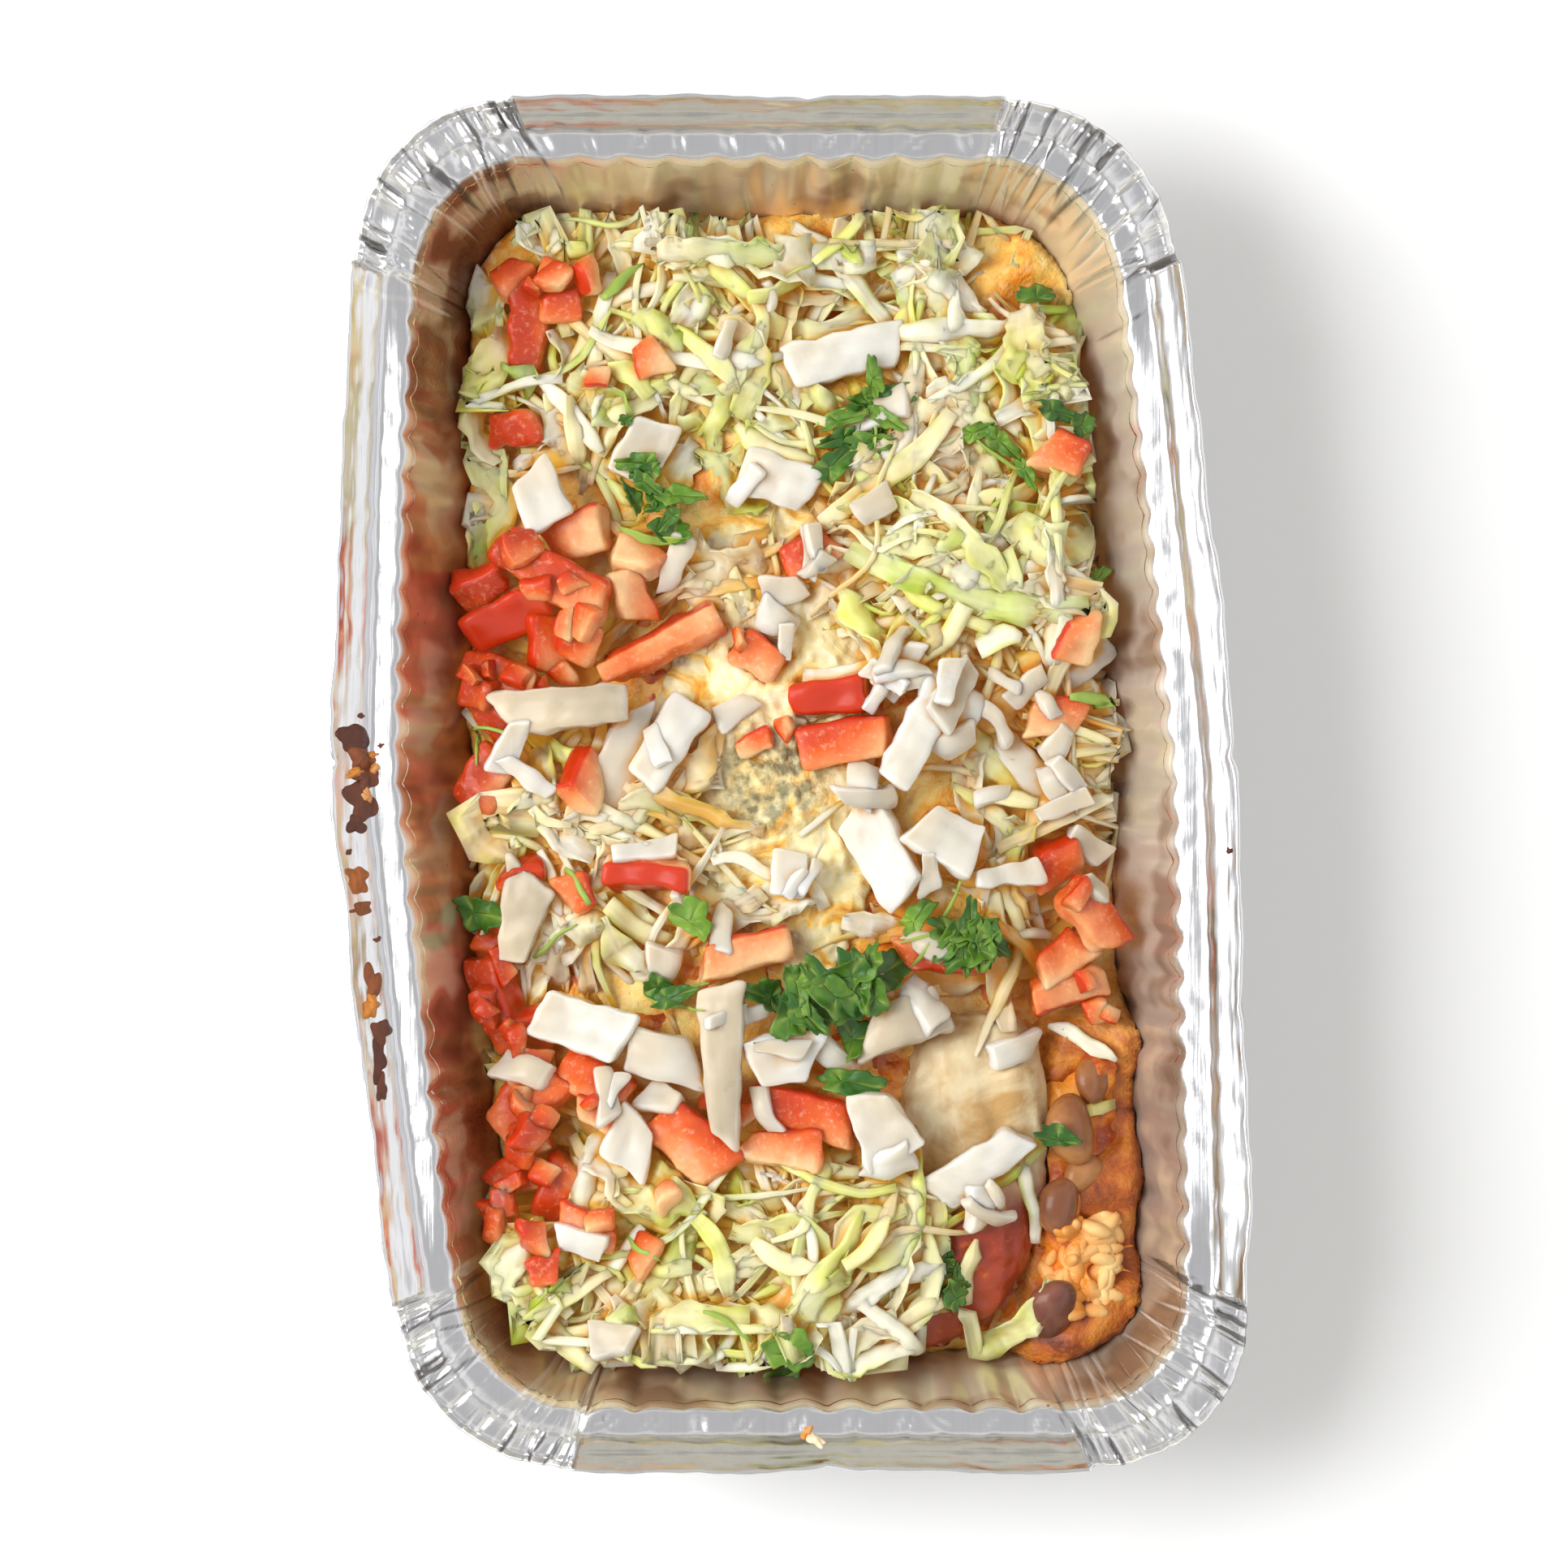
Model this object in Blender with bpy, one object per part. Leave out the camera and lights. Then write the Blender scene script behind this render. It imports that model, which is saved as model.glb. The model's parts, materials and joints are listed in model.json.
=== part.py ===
"""Takeaway meal in an aluminium foil tray: enchiladas under melted cheese with beans and rice, covered with
shredded lettuce, chopped tomato and onion, and coriander leaves.

Units are metres and +Z is up. The long side runs along Y, and the origin is under the middle of the tray.
Tables of sizes and places are in millimetres and are multiplied by MM where they are used.
"""

import math
import random
from typing import NamedTuple

import bmesh
import bpy
from mathutils import Euler, Matrix, Vector
from mathutils.bvhtree import BVHTree

MM = 0.001
GAP = 0.35  # clearance between touching pieces, in mm
FLAT_ENOUGH = math.radians(1)  # faces that meet flatter than this are merged after a Boolean

# The tray's rim before it is pushed out of shape, in mm.
RIM_HALF_WIDTH = 68.2
RIM_HALF_LENGTH = 111.8
RIM_CORNER_RADIUS = 26.0
CORNER_TIGHTENING = 0.6  # how fast the corners' radius falls with the inset from the rim
SHOULDER_HEIGHT = 42.0
LIP_HEIGHT = 48.4
WALL_HEAD_INSET = 10.8
WALL_HEAD_HEIGHT = 40.0
WALL_FOOT_INSET = 22.0
WALL_FOOT_HEIGHT = 5.0
FLOOR_THICKNESS = 0.5

# The full tray has bowed out at a crease in the middle of each long side, leans over sideways, and is wider
# at its near end.
BOW_LEFT = 7.4
BOW_RIGHT = 4.3
BOW_REACH = 86.0
BOW_CENTRE_Y = 2.5
BOW_ROUNDNESS = 0.8
TAPER = 0.026
LEAN = -0.0524
LEAN_SHIFT_X = 0.8

# Flutes on the walls and pleats at the corners.
LONG_SIDE_FLUTES = 17
SHORT_SIDE_FLUTES = 8
CORNER_PLEATS = 5
FLUTE_DEPTH = 0.5
PLEAT_HEIGHT = 0.35
NOTCH = 0.8  # length over which a closing lip ends beside a corner

# Where each ring of the tray runs: inset and height on the straight sides, inset and height at the corners,
# and how much of the flutes' depth and of the pleats' height it takes.
TRAY_RINGS = (
    (27.0, FLOOR_THICKNESS, 27.0, FLOOR_THICKNESS, 0.0, 0.0),
    (WALL_FOOT_INSET, WALL_FOOT_HEIGHT, WALL_FOOT_INSET, WALL_FOOT_HEIGHT, 1.0, 0.0),
    (WALL_HEAD_INSET, WALL_HEAD_HEIGHT, WALL_HEAD_INSET, WALL_HEAD_HEIGHT, 1.0, 0.0),
    (9.6, SHOULDER_HEIGHT, 9.6, SHOULDER_HEIGHT, 0.6, 0.5),
    (5.2, SHOULDER_HEIGHT + 0.2, 5.4, SHOULDER_HEIGHT + 0.3, 0.0, 1.0),
    (1.4, LIP_HEIGHT - 1.0, 1.8, SHOULDER_HEIGHT + 0.4, 0.0, 1.0),
    (0.5, LIP_HEIGHT, 0.6, SHOULDER_HEIGHT + 0.5, 0.0, 1.0),
    (0.0, LIP_HEIGHT - 1.4, 0.0, SHOULDER_HEIGHT - 0.9, 0.0, 1.0),
    (4.7, SHOULDER_HEIGHT - 0.5, 4.9, SHOULDER_HEIGHT - 0.6, 0.0, 1.0),
    (9.9, SHOULDER_HEIGHT - 0.8, 9.9, SHOULDER_HEIGHT - 0.8, 0.8, 0.3),
    (21.6, 4.4, 21.6, 4.4, 1.0, 0.0),
    (27.0, 0.0, 27.0, 0.0, 0.0, 0.0),
)

# The food's own heights, in mm.
BED_FLOOR = 0.5 + GAP + 0.1
BED_EDGE_HEIGHT = 18.5
BED_MOUND = 9.0
BED_HALF_WIDTH = 54.0
BED_HALF_LENGTH = 98.0
BED_END_RISE = 4.0  # the near end is fuller than the far one
BED_CORNER_DROP = 6.0
BED_TOP_RINGS = 7
SALAD_COVER = 6.0
CHEESE_COVER = 3.0

SHRED_THICKNESS = 1.1
SHRED_STEPS = 4
ONION_THICKNESS = 3.2
TOMATO_THICKNESS = 6.4
ONION_BEND = 0.3
SMALL_CUT_THICKNESS = 5.0
MOST_TILT = 1.6  # radians for each mm of length, so that long pieces lie flatter
MOST_ROLL = 0.2
LEAF_THICKNESS = 0.8
LEAF_POINTS = 18


class Patch(NamedTuple):
    """A heap's outline seen from above, as a wavering superellipse."""

    x: float
    y: float
    half_width: float
    half_length: float
    thickness: float
    waver: float


class Chunk(NamedTuple):
    """A cut piece lying on the heap: its middle, size and turn in degrees, seen from above."""

    x: float
    y: float
    length: float
    width: float
    turn: float


class Shred(NamedTuple):
    """A strip of lettuce from one end to the other, bowed sideways."""

    heap: str
    x0: float
    y0: float
    x1: float
    y1: float
    bow: float
    width: float


HEAPS = {
    "lettuce_north": Patch(-3, 61, 47, 31, 4.6, 0.05),
    "lettuce_west": Patch(-35, 2, 17, 30, 4.6, 0.06),
    "lettuce_east": Patch(32, 6, 22, 37, 4.6, 0.05),
    "lettuce_south": Patch(-9, -66, 41, 31, 4.6, 0.05),
}
CHEESE = Patch(-2, 11, 18, 42, 2.6, 0.10)
SIDE_DISH = Patch(49, -66, 10, 25, 5.0, 0.06)

TOMATOES = (
    Chunk(-43, 76, 15, 6.8, 85),
    Chunk(-45, 59, 9, 6.6, 0),
    Chunk(-35, 41, 9.5, 8, 20),
    Chunk(-47, 28, 16, 6.4, 22),
    Chunk(-39, 34, 20, 7.6, -30),
    Chunk(-48, 18, 12.5, 6, -20),
    Chunk(-21, 23, 20, 6, 27),
    Chunk(-5, 21, 8, 7, -35),
    Chunk(3, 38, 8.6, 7, 30),
    Chunk(7, 14.5, 12, 6.2, 5),
    Chunk(9, 7, 15, 7.4, 8),
    Chunk(-50, 0, 11, 8.6, 60),
    Chunk(-23, -15, 13, 5.8, -5),
    Chunk(-7, -28, 14.5, 6.4, 15),
    Chunk(-49, -34, 11, 6.8, -75),
    Chunk(-32, -49, 12.5, 7, -25),
    Chunk(-44, -56, 12, 8.4, -60),
    Chunk(-16, -59, 14, 9.5, -40),
    Chunk(2, -54, 16, 7.6, -15),
    Chunk(-38, -68, 12, 8, 60),
    Chunk(44, -13, 8.4, 7.4, 30),
    Chunk(50, -22, 12.5, 7.4, -50),
    Chunk(46, -34, 13, 6, 15),
    Chunk(25, -28, 14, 6.8, 0),
)

ONIONS = (
    Chunk(-41, 47, 9, 8, -70),
    Chunk(-24, 55, 10, 8, 60),
    Chunk(9, 71, 18.5, 7.4, 15),
    Chunk(-2, 50, 12, 8, -15),
    Chunk(-37, 12.5, 20, 7, 5),
    Chunk(-28, 4, 17, 7.6, 72),
    Chunk(-20, 7, 15, 7, 55),
    Chunk(21, 8, 17, 6, 62),
    Chunk(38, 4, 16.5, 5.4, -50),
    Chunk(15, -11, 17, 9.2, -58),
    Chunk(26, -9, 10.6, 8.6, -30),
    Chunk(9, -34, 15, 6.6, 8),
    Chunk(-44, -22, 14.5, 7, 78),
    Chunk(-34, -40, 15, 8.4, -15),
    Chunk(-21, -45, 11.5, 8, -12),
    Chunk(-11, -46, 24.5, 6.2, -89),
    Chunk(-1, -45, 10.4, 8.2, 12),
    Chunk(15, -56, 11.2, 9, -60),
    Chunk(31, -63, 17, 6.4, 35),
    Chunk(19, -39, 13, 7.6, 20),
    Chunk(48, 19, 13, 4.6, 35),
)

# Smaller cuts are one with the heap that they lie in.
SMALL_CUTS = {
    "lettuce_north": (
        Chunk(-37, 79, 6, 5.4, 10),
        Chunk(43, 54, 8, 7, -20),
        Chunk(38, 77, 8, 6, 20),
    ),
    "lettuce_west": (
        Chunk(-26, 31, 9, 6, -70),
        Chunk(-34, 1, 9, 5, 70),
        Chunk(-35, -17, 6.4, 5.4, -60),
    ),
    "lettuce_east": (
        Chunk(29, 14, 6.6, 5.6, 85),
        Chunk(43, 11, 9.5, 6.6, 0),
        Chunk(45, 24, 8, 6, 70),
        Chunk(36, -16, 11, 4, 8),
    ),
    "lettuce_south": (
        Chunk(-3, -62, 12, 6, -5),
        Chunk(-26, -58, 9, 7.6, 70),
        Chunk(-34, -75, 8.2, 5, -18),
        Chunk(-29, -91, 8, 5.6, 0),
        Chunk(-24, -77, 6.6, 5, 60),
    ),
}

SHREDS = (
    Shred("lettuce_north", 0, 92, 16, 76, 1.1, 3.4),
    Shred("lettuce_north", -33, 75, -1, 71, -2.9, 3.6),
    Shred("lettuce_north", 16, 74, 38, 76, 0.0, 4.0),
    Shred("lettuce_north", 36, 75, 23, 63, 1.6, 2.6),
    Shred("lettuce_north", 33, 70, 36, 57, -0.5, 3.4),
    Shred("lettuce_north", 27, 61, 5, 43, 1.3, 4.0),
    Shred("lettuce_north", -41, 67, -31, 55, 0.5, 3.2),
    Shred("lettuce_north", -36, 64, -34, 53, 0.5, 3.2),
    Shred("lettuce_north", -15, 90, -5, 79, -1.6, 3.0),
    Shred("lettuce_north", -20, 91, -22, 80, 1.1, 3.0),
    Shred("lettuce_north", -9, 80, 6, 86, -0.8, 3.4),
    Shred("lettuce_north", 14, 81, 30, 87, 0.0, 7.6),
    Shred("lettuce_north", -32, 50, -18, 50, -2.6, 3.2),
    Shred("lettuce_north", -11, 60, 4, 53, -1.1, 3.8),
    Shred("lettuce_north", 26, 47, 40, 50, -1.3, 3.6),
    Shred("lettuce_north", -20, 75, -9, 63, 1.2, 3.2),
    Shred("lettuce_east", 12, 38, 47, 29, -3.4, 4.8),
    Shred("lettuce_east", 30, 30, 17, 18, 1.3, 3.4),
    Shred("lettuce_east", 16, 32, 22, 20, -0.8, 5.6),
    Shred("lettuce_east", 30, 40, 46, 38, -3.0, 7.4),
    Shred("lettuce_east", 28, 22, 40, 25, 0.8, 4.0),
    Shred("lettuce_east", 27, -1, 43, -4, -0.8, 3.4),
    Shred("lettuce_west", -47, 5, -36, -7, -3.0, 2.6),
    Shred("lettuce_west", -41, -8, -38, -26, 1.1, 2.6),
    Shred("lettuce_west", -44, 8, -30, 3, -0.8, 3.2),
    Shred("lettuce_west", -33, -18, -24, -24, -1.1, 3.4),
    Shred("lettuce_west", -33, -3, -22, -7, 1.3, 4.4),
    Shred("lettuce_south", 0, -87, 12, -70, -0.8, 3.8),
    Shred("lettuce_south", 8, -83, 18, -93, 1.1, 3.0),
    Shred("lettuce_south", 0, -93, 14, -89, 0.0, 3.2),
    Shred("lettuce_south", -38, -84, -30, -91, -1.3, 3.2),
    Shred("lettuce_south", -27, -82, -21, -93, 0.0, 3.2),
    Shred("lettuce_south", -28, -79, -14, -80, -0.8, 3.0),
    Shred("lettuce_south", -16, -70, -9, -84, 1.3, 3.4),
    Shred("lettuce_south", -8, -75, 6, -79, -1.1, 3.2),
    Shred("lettuce_south", 18, -70, 7, -80, 0.7, 3.0),
)

# Coriander: middle and radius of each leaf, its turn, and the length of its stalk.
LEAVES = (
    (13, 62, 6.0, 70, 8.0),
    (-21, 46, 5.0, -40, 6.0),
    (27, -19, 5.5, 110, 9.0),
    (1, -36, 7.0, 200, 12.0),
    (26, -80, 5.0, 60, 0.0),
)

# Beans, on whole or half show, in the heaps: middle and turn.
BEANS = {
    "beans_and_rice": ((44, -86, 60), (47, -58, 100), (45, -70, 80), (51, -48, 90)),
    "lettuce_north": ((-24, 84, 40),),
    "lettuce_west": (),
    "lettuce_east": (),
    "lettuce_south": ((-32, -86, 30), (-16, -90, 10)),
}
BEAN_RADII = (5.8, 4.2, 3.6)
RICE_CENTRE = (51, -79)
RICE_SPREAD = 8.0
RICE_GRAINS = 16
RICE_LENGTH = 6.4
RICE_RADIUS = 1.15

# The end of one enchilada shows at the near right: points along its middle, with half its width and height.
ROLL_PATH = (
    (31, -38, 7.0, 3.0),
    (31, -43, 11.0, 5.0),
    (30, -54, 12.5, 5.8),
    (30, -66, 12.5, 5.8),
    (28, -78, 12.0, 5.6),
    (25, -87, 10.5, 4.8),
    (22, -92, 6.0, 2.6),
)
ROLL_SIDES = 12
ROLL_LIFT = 1.5

COLOURS = {
    "foil": ((0.80, 0.80, 0.82), 0.25, 1.0),
    "enchilada": ((0.62, 0.20, 0.06), 0.45, 0.0),
    "cheese": ((0.93, 0.74, 0.40), 0.40, 0.0),
    "lettuce": ((0.82, 0.88, 0.58), 0.45, 0.0),
    "tomato": ((0.80, 0.16, 0.09), 0.30, 0.0),
    "onion": ((0.93, 0.92, 0.86), 0.35, 0.0),
    "coriander": ((0.13, 0.38, 0.07), 0.45, 0.0),
    "beans_rice": ((0.72, 0.42, 0.16), 0.45, 0.0),
}


class Station(NamedTuple):
    """One place round the tray: which side or corner, how far along it, and what the foil does there."""

    quarter: int
    corner: bool
    share: float
    flute: float
    lip: float


def clear_scene():
    for obj in list(bpy.data.objects):
        bpy.data.objects.remove(obj, do_unlink=True)


def material(name):
    colour, roughness, metallic = COLOURS[name]
    made = bpy.data.materials.get(name) or bpy.data.materials.new(name)
    made.use_nodes = True
    made.diffuse_color = (*colour, 1.0)
    shader = made.node_tree.nodes["Principled BSDF"]
    shader.inputs["Base Color"].default_value = (*colour, 1.0)
    shader.inputs["Roughness"].default_value = roughness
    shader.inputs["Metallic"].default_value = metallic
    return made


def mesh_object(name, points, faces, finish):
    """A closed mesh from points in mm, with its faces turned outwards."""
    mesh = bpy.data.meshes.new(name)
    mesh.from_pydata([Vector(p) * MM for p in points], [], faces)
    outward(mesh)
    obj = bpy.data.objects.new(name, mesh)
    obj.data.materials.append(material(finish))
    bpy.context.scene.collection.objects.link(obj)
    return obj


def outward(mesh):
    shape = bmesh.new()
    shape.from_mesh(mesh)
    bmesh.ops.recalc_face_normals(shape, faces=shape.faces)
    if shape.calc_volume(signed=True) < 0:
        bmesh.ops.reverse_faces(shape, faces=shape.faces)
    shape.to_mesh(mesh)
    shape.free()


def side_stretch(bow, y, height):
    """How much wider than new the tray is on one side of its middle, at this place and height."""
    peak = max(0.0, 1 - abs(y - BOW_CENTRE_Y) / BOW_REACH) ** BOW_ROUNDNESS
    level = min(1.0, max(0.0, height / SHOULDER_HEIGHT))
    return 1 - TAPER * y / RIM_HALF_LENGTH + bow * peak * level / RIM_HALF_WIDTH


def pushed_out_of_shape(x, y, height):
    """Where a point of the new tray lies after its sides have bowed, spread and leant."""
    bow = BOW_LEFT if x < 0 else BOW_RIGHT
    return (x * side_stretch(bow, y, height) + LEAN * y + LEAN_SHIFT_X, y)


def pushed_back(x, y, height):
    """Where a point of the tray as it is lay in the new one."""
    straight = x - LEAN * y - LEAN_SHIFT_X
    bow = BOW_LEFT if straight < 0 else BOW_RIGHT
    return Vector((straight / side_stretch(bow, y, height), y))


def stations(long_flutes, short_flutes, pleats):
    """The places round the tray, from the right side's near end anticlockwise."""
    found = []
    for quarter in range(4):
        steps = 2 * (short_flutes if quarter % 2 else long_flutes)
        length = 2 * (RIM_HALF_WIDTH if quarter % 2 else RIM_HALF_LENGTH) - 2 * RIM_CORNER_RADIUS
        for i in range(steps):
            share = i / steps
            if i == 1:
                share = 2 / steps - NOTCH / length
            if i == steps - 1:
                share = (steps - 2) / steps + NOTCH / length
            lip = 1.0 if 2 <= i <= steps - 2 else 0.0
            found.append(Station(quarter, False, share, (-1) ** i, lip))
        for i in range(2 * pleats):
            found.append(Station(quarter, True, i / (2 * pleats), (-1) ** i, 0.0))
    return found


def round_the_tray(station, inset, height):
    """The point of a station on the ring at this inset from the rim and this height."""
    half_x, half_y = RIM_HALF_WIDTH - inset, RIM_HALF_LENGTH - inset
    radius = RIM_CORNER_RADIUS - CORNER_TIGHTENING * inset
    start = Vector((half_x, radius - half_y)) if station.quarter % 2 == 0 else Vector((half_x - radius, half_y))
    centre = Vector((half_x - radius, half_y - radius))
    if station.quarter % 2 == 0:
        end = Vector((half_x, half_y - radius))
    else:
        end = Vector((radius - half_x, half_y))
        centre = Vector((radius - half_x, half_y - radius))
    if station.corner:
        first = 0 if station.quarter % 2 == 0 else 90
        angle = math.radians(first + 90 * station.share)
        spot = centre + radius * Vector((math.cos(angle), math.sin(angle)))
    else:
        spot = start.lerp(end, station.share)
    if station.quarter >= 2:
        spot = -spot
    return pushed_out_of_shape(spot.x, spot.y, height)


def ring_surface(rings):
    """Points and faces of rings stacked into a closed skin, each end closed by a fan round its middle."""
    count = len(rings[0])
    points = [p for ring in rings for p in ring]
    faces = []
    for k in range(len(rings) - 1):
        for i in range(count):
            j = (i + 1) % count
            low, high = k * count, (k + 1) * count
            faces.append((low + i, low + j, high + j, high + i))
    for first, ring in ((0, rings[0]), ((len(rings) - 1) * count, rings[-1])):
        middle = sum((Vector(p) for p in ring), Vector()) / count
        points.append(tuple(middle))
        faces += [(first + i, first + (i + 1) % count, len(points) - 1) for i in range(count)]
    return points, faces


def build_tray():
    rings = []
    places = stations(LONG_SIDE_FLUTES, SHORT_SIDE_FLUTES, CORNER_PLEATS)
    for side_inset, side_height, corner_inset, corner_height, flute, pleat in TRAY_RINGS:
        ring = []
        for place in places:
            inset = place.lip * side_inset + (1 - place.lip) * corner_inset
            height = place.lip * side_height + (1 - place.lip) * corner_height
            inset += FLUTE_DEPTH * flute * place.flute
            if place.corner:
                height += PLEAT_HEIGHT * pleat * place.flute
            x, y = round_the_tray(place, inset, height)
            ring.append((x, y, height))
        rings.append(ring)
    return mesh_object("foil_tray", *ring_surface(rings), "foil")


def wall_inset(height):
    """How far the inner wall stands in from the rim at this height."""
    share = (WALL_HEAD_HEIGHT - height) / (WALL_HEAD_HEIGHT - WALL_FOOT_HEIGHT)
    return WALL_HEAD_INSET + share * (WALL_FOOT_INSET - WALL_HEAD_INSET)


def keep_inside(x, y, height, margin):
    """The nearest place to (x, y) that stays this far inside the wall at this height."""
    inset = wall_inset(height) + FLUTE_DEPTH + margin
    straight = pushed_back(x, y, height)
    radius = RIM_CORNER_RADIUS - CORNER_TIGHTENING * inset
    core_x = RIM_HALF_WIDTH - inset - radius
    core_y = RIM_HALF_LENGTH - inset - radius
    core = Vector((max(-core_x, min(core_x, straight.x)), max(-core_y, min(core_y, straight.y))))
    outward_way = straight - core
    if outward_way.length > radius:
        straight = core + outward_way.normalized() * radius
    return pushed_out_of_shape(straight.x, straight.y, height)


def bed_top(x, y):
    """Height of the enchiladas' top."""
    u = min(1.0, abs(x - LEAN * y) / BED_HALF_WIDTH)
    v = max(-1.0, min(1.0, y / BED_HALF_LENGTH))
    mound = (1 - u**2.4) * (1 - abs(v) ** 4)
    corner = (u * abs(v)) ** 4
    return BED_EDGE_HEIGHT + BED_MOUND * mound - BED_END_RISE * v - BED_CORNER_DROP * corner


def build_bed():
    """The enchiladas fill the tray to a low mound."""
    evenly = stations(5, 3, 3)
    rings = [
        [(*round_the_tray(p, inset, height), height) for p in evenly]
        for inset, height in ((27.8, BED_FLOOR), (25.8, 2.6), (wall_inset(6) + 1.4, 6.0))
    ]
    edge = []
    for place in evenly:
        height = BED_EDGE_HEIGHT
        for _ in range(4):
            x, y = round_the_tray(place, wall_inset(height) + 1.4, height)
            height = bed_top(x, y)
        edge.append((x, y, height))
    rings.append(edge)
    for k in range(1, BED_TOP_RINGS):
        share = 1 - k / BED_TOP_RINGS
        ring = []
        for x, y, _ in edge:
            x, y = x * share, y * share
            ring.append((x, y, bed_top(x, y)))
        rings.append(ring)
    return mesh_object("enchilada_bed", *ring_surface(rings), "enchilada")


def beans_of(heap, patch):
    beans = []
    for x, y, turn in BEANS[heap]:
        height = bed_top(x, y) + patch.thickness
        x, y = keep_inside(x, y, height, BEAN_RADII[1] + 1.5)
        beans.append(bean(x, y, height, turn))
    return beans


def bean(x, y, height, turn):
    shape = bmesh.new()
    bmesh.ops.create_icosphere(shape, subdivisions=1, radius=1.0)
    grow = Matrix.Diagonal((*BEAN_RADII, 1))
    place = Matrix.Translation((x, y, height)) @ Matrix.Rotation(math.radians(turn), 4, "Z")
    shape.transform(Matrix.Scale(MM, 4) @ place @ grow)
    mesh = bpy.data.meshes.new("bean")
    shape.to_mesh(mesh)
    shape.free()
    obj = bpy.data.objects.new("bean", mesh)
    bpy.context.scene.collection.objects.link(obj)
    return obj


def build_roll():
    rings = []
    for x, y, half_width, half_height in ROLL_PATH:
        ring = []
        for i in range(ROLL_SIDES):
            angle = 2 * math.pi * i / ROLL_SIDES
            ring.append(
                (
                    x + half_width * math.cos(angle),
                    y,
                    bed_top(x, y) + ROLL_LIFT + half_height * math.sin(angle),
                )
            )
        rings.append(ring)
    return mesh_object("enchilada_roll", *ring_surface(rings), "enchilada")


def edge_of(patch, angle):
    """Outline of a patch in this direction from its middle."""
    c, s = math.cos(angle), math.sin(angle)
    reach = (abs(c) ** 2.6 + abs(s) ** 2.6) ** (-1 / 2.6)
    reach *= 1 + patch.waver * (math.sin(3 * angle + patch.x) + math.sin(7 * angle + patch.y))
    return patch.x + patch.half_width * reach * c, patch.y + patch.half_length * reach * s


def blanket(name, patch, finish, around=16, inward=4):
    """A layer lying on the bed: its underside starts below the bed's top and is carved off later."""
    top, under = [], []
    for k in range(inward, 0, -1):
        share = k / inward
        upper, lower = [], []
        for i in range(around):
            x, y = edge_of(patch, 2 * math.pi * i / around)
            x, y = patch.x + share * (x - patch.x), patch.y + share * (y - patch.y)
            height = bed_top(x, y)
            x, y = keep_inside(x, y, height, GAP + 0.6)
            rise = patch.thickness * (1 - share**4) + 0.9
            upper.append((x, y, height + rise))
            lower.append((x, y, height - 1.2))
        top.append(upper)
        under.insert(0, lower)
    return mesh_object(name, *ring_surface(under + top), finish)


def salad_top(x, y):
    """Height of the salad's top, or of the cheese where that lies bare."""
    u = abs(x - CHEESE.x) / CHEESE.half_width
    v = abs(y - CHEESE.y) / CHEESE.half_length
    bare = max(0.0, 1 - u**4 - v**4)
    return bed_top(x, y) + SALAD_COVER + (CHEESE_COVER - SALAD_COVER) * bare


def bar_mesh(name, length, width, thickness, bend, steps, dice):
    """A cut bar with chamfered edges, arched by bend radians, each ring a little uneven."""
    chamfer = 0.22 * min(width, thickness)
    half_w, half_t = width / 2, thickness / 2
    section = []
    for sx, sz in ((1, 1), (-1, 1), (-1, -1), (1, -1)):
        across = (sx * half_w, sz * (half_t - chamfer))
        along = (sx * (half_w - chamfer), sz * half_t)
        section += [across, along] if sx * sz > 0 else [along, across]
    rings = []
    for k in range(steps + 1):
        share = k / steps - 0.5
        angle = bend * share
        shrink = 1 - (0.12 if k in (0, steps) else 0.0)
        lean = dice.uniform(-0.06, 0.06) * length
        ring = []
        for across, up in section:
            wide = across * shrink * dice.uniform(0.93, 1.04)
            tall = up * shrink * dice.uniform(0.93, 1.04)
            if bend:
                radius = length / bend
                x = (radius + tall) * math.sin(angle)
                z = (radius + tall) * math.cos(angle) - radius
            else:
                x, z = length * share, tall
            ring.append((x + lean * across / width, wide, z))
        rings.append(ring)
    points, faces = ring_surface(rings)
    mesh = bpy.data.meshes.new(name)
    mesh.from_pydata([Vector(p) * MM for p in points], [], faces)
    outward(mesh)
    return mesh


def surface_tilt(x, y):
    """Rotation that lays a piece on the salad's slope."""
    reach = 4.0
    slope_x = (salad_top(x + reach, y) - salad_top(x - reach, y)) / (2 * reach)
    slope_y = (salad_top(x, y + reach) - salad_top(x, y - reach)) / (2 * reach)
    up = Vector((-slope_x, -slope_y, 1)).normalized()
    return Vector((0, 0, 1)).rotation_difference(up)


def lay_chunk(name, chunk, thickness, bend, finish, dice):
    """A cut piece on the salad, half sunk in it."""
    mesh = bar_mesh(name, chunk.length, chunk.width, thickness, bend, 2 if bend else 1, dice)
    obj = bpy.data.objects.new(name, mesh)
    mesh.materials.append(material(finish))
    bpy.context.scene.collection.objects.link(obj)
    x, y = keep_inside(chunk.x, chunk.y, salad_top(chunk.x, chunk.y), 0.45 * chunk.width + 1)
    tilt = MOST_TILT * dice.uniform(-1, 1) / chunk.length
    roll = Euler((MOST_ROLL * dice.uniform(-1, 1), tilt, math.radians(chunk.turn)))
    obj.rotation_mode = "QUATERNION"
    obj.rotation_quaternion = surface_tilt(x, y) @ roll.to_quaternion()
    obj.location = Vector((x, y, salad_top(x, y) + 0.12 * thickness)) * MM
    bpy.context.view_layer.update()
    return obj


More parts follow.
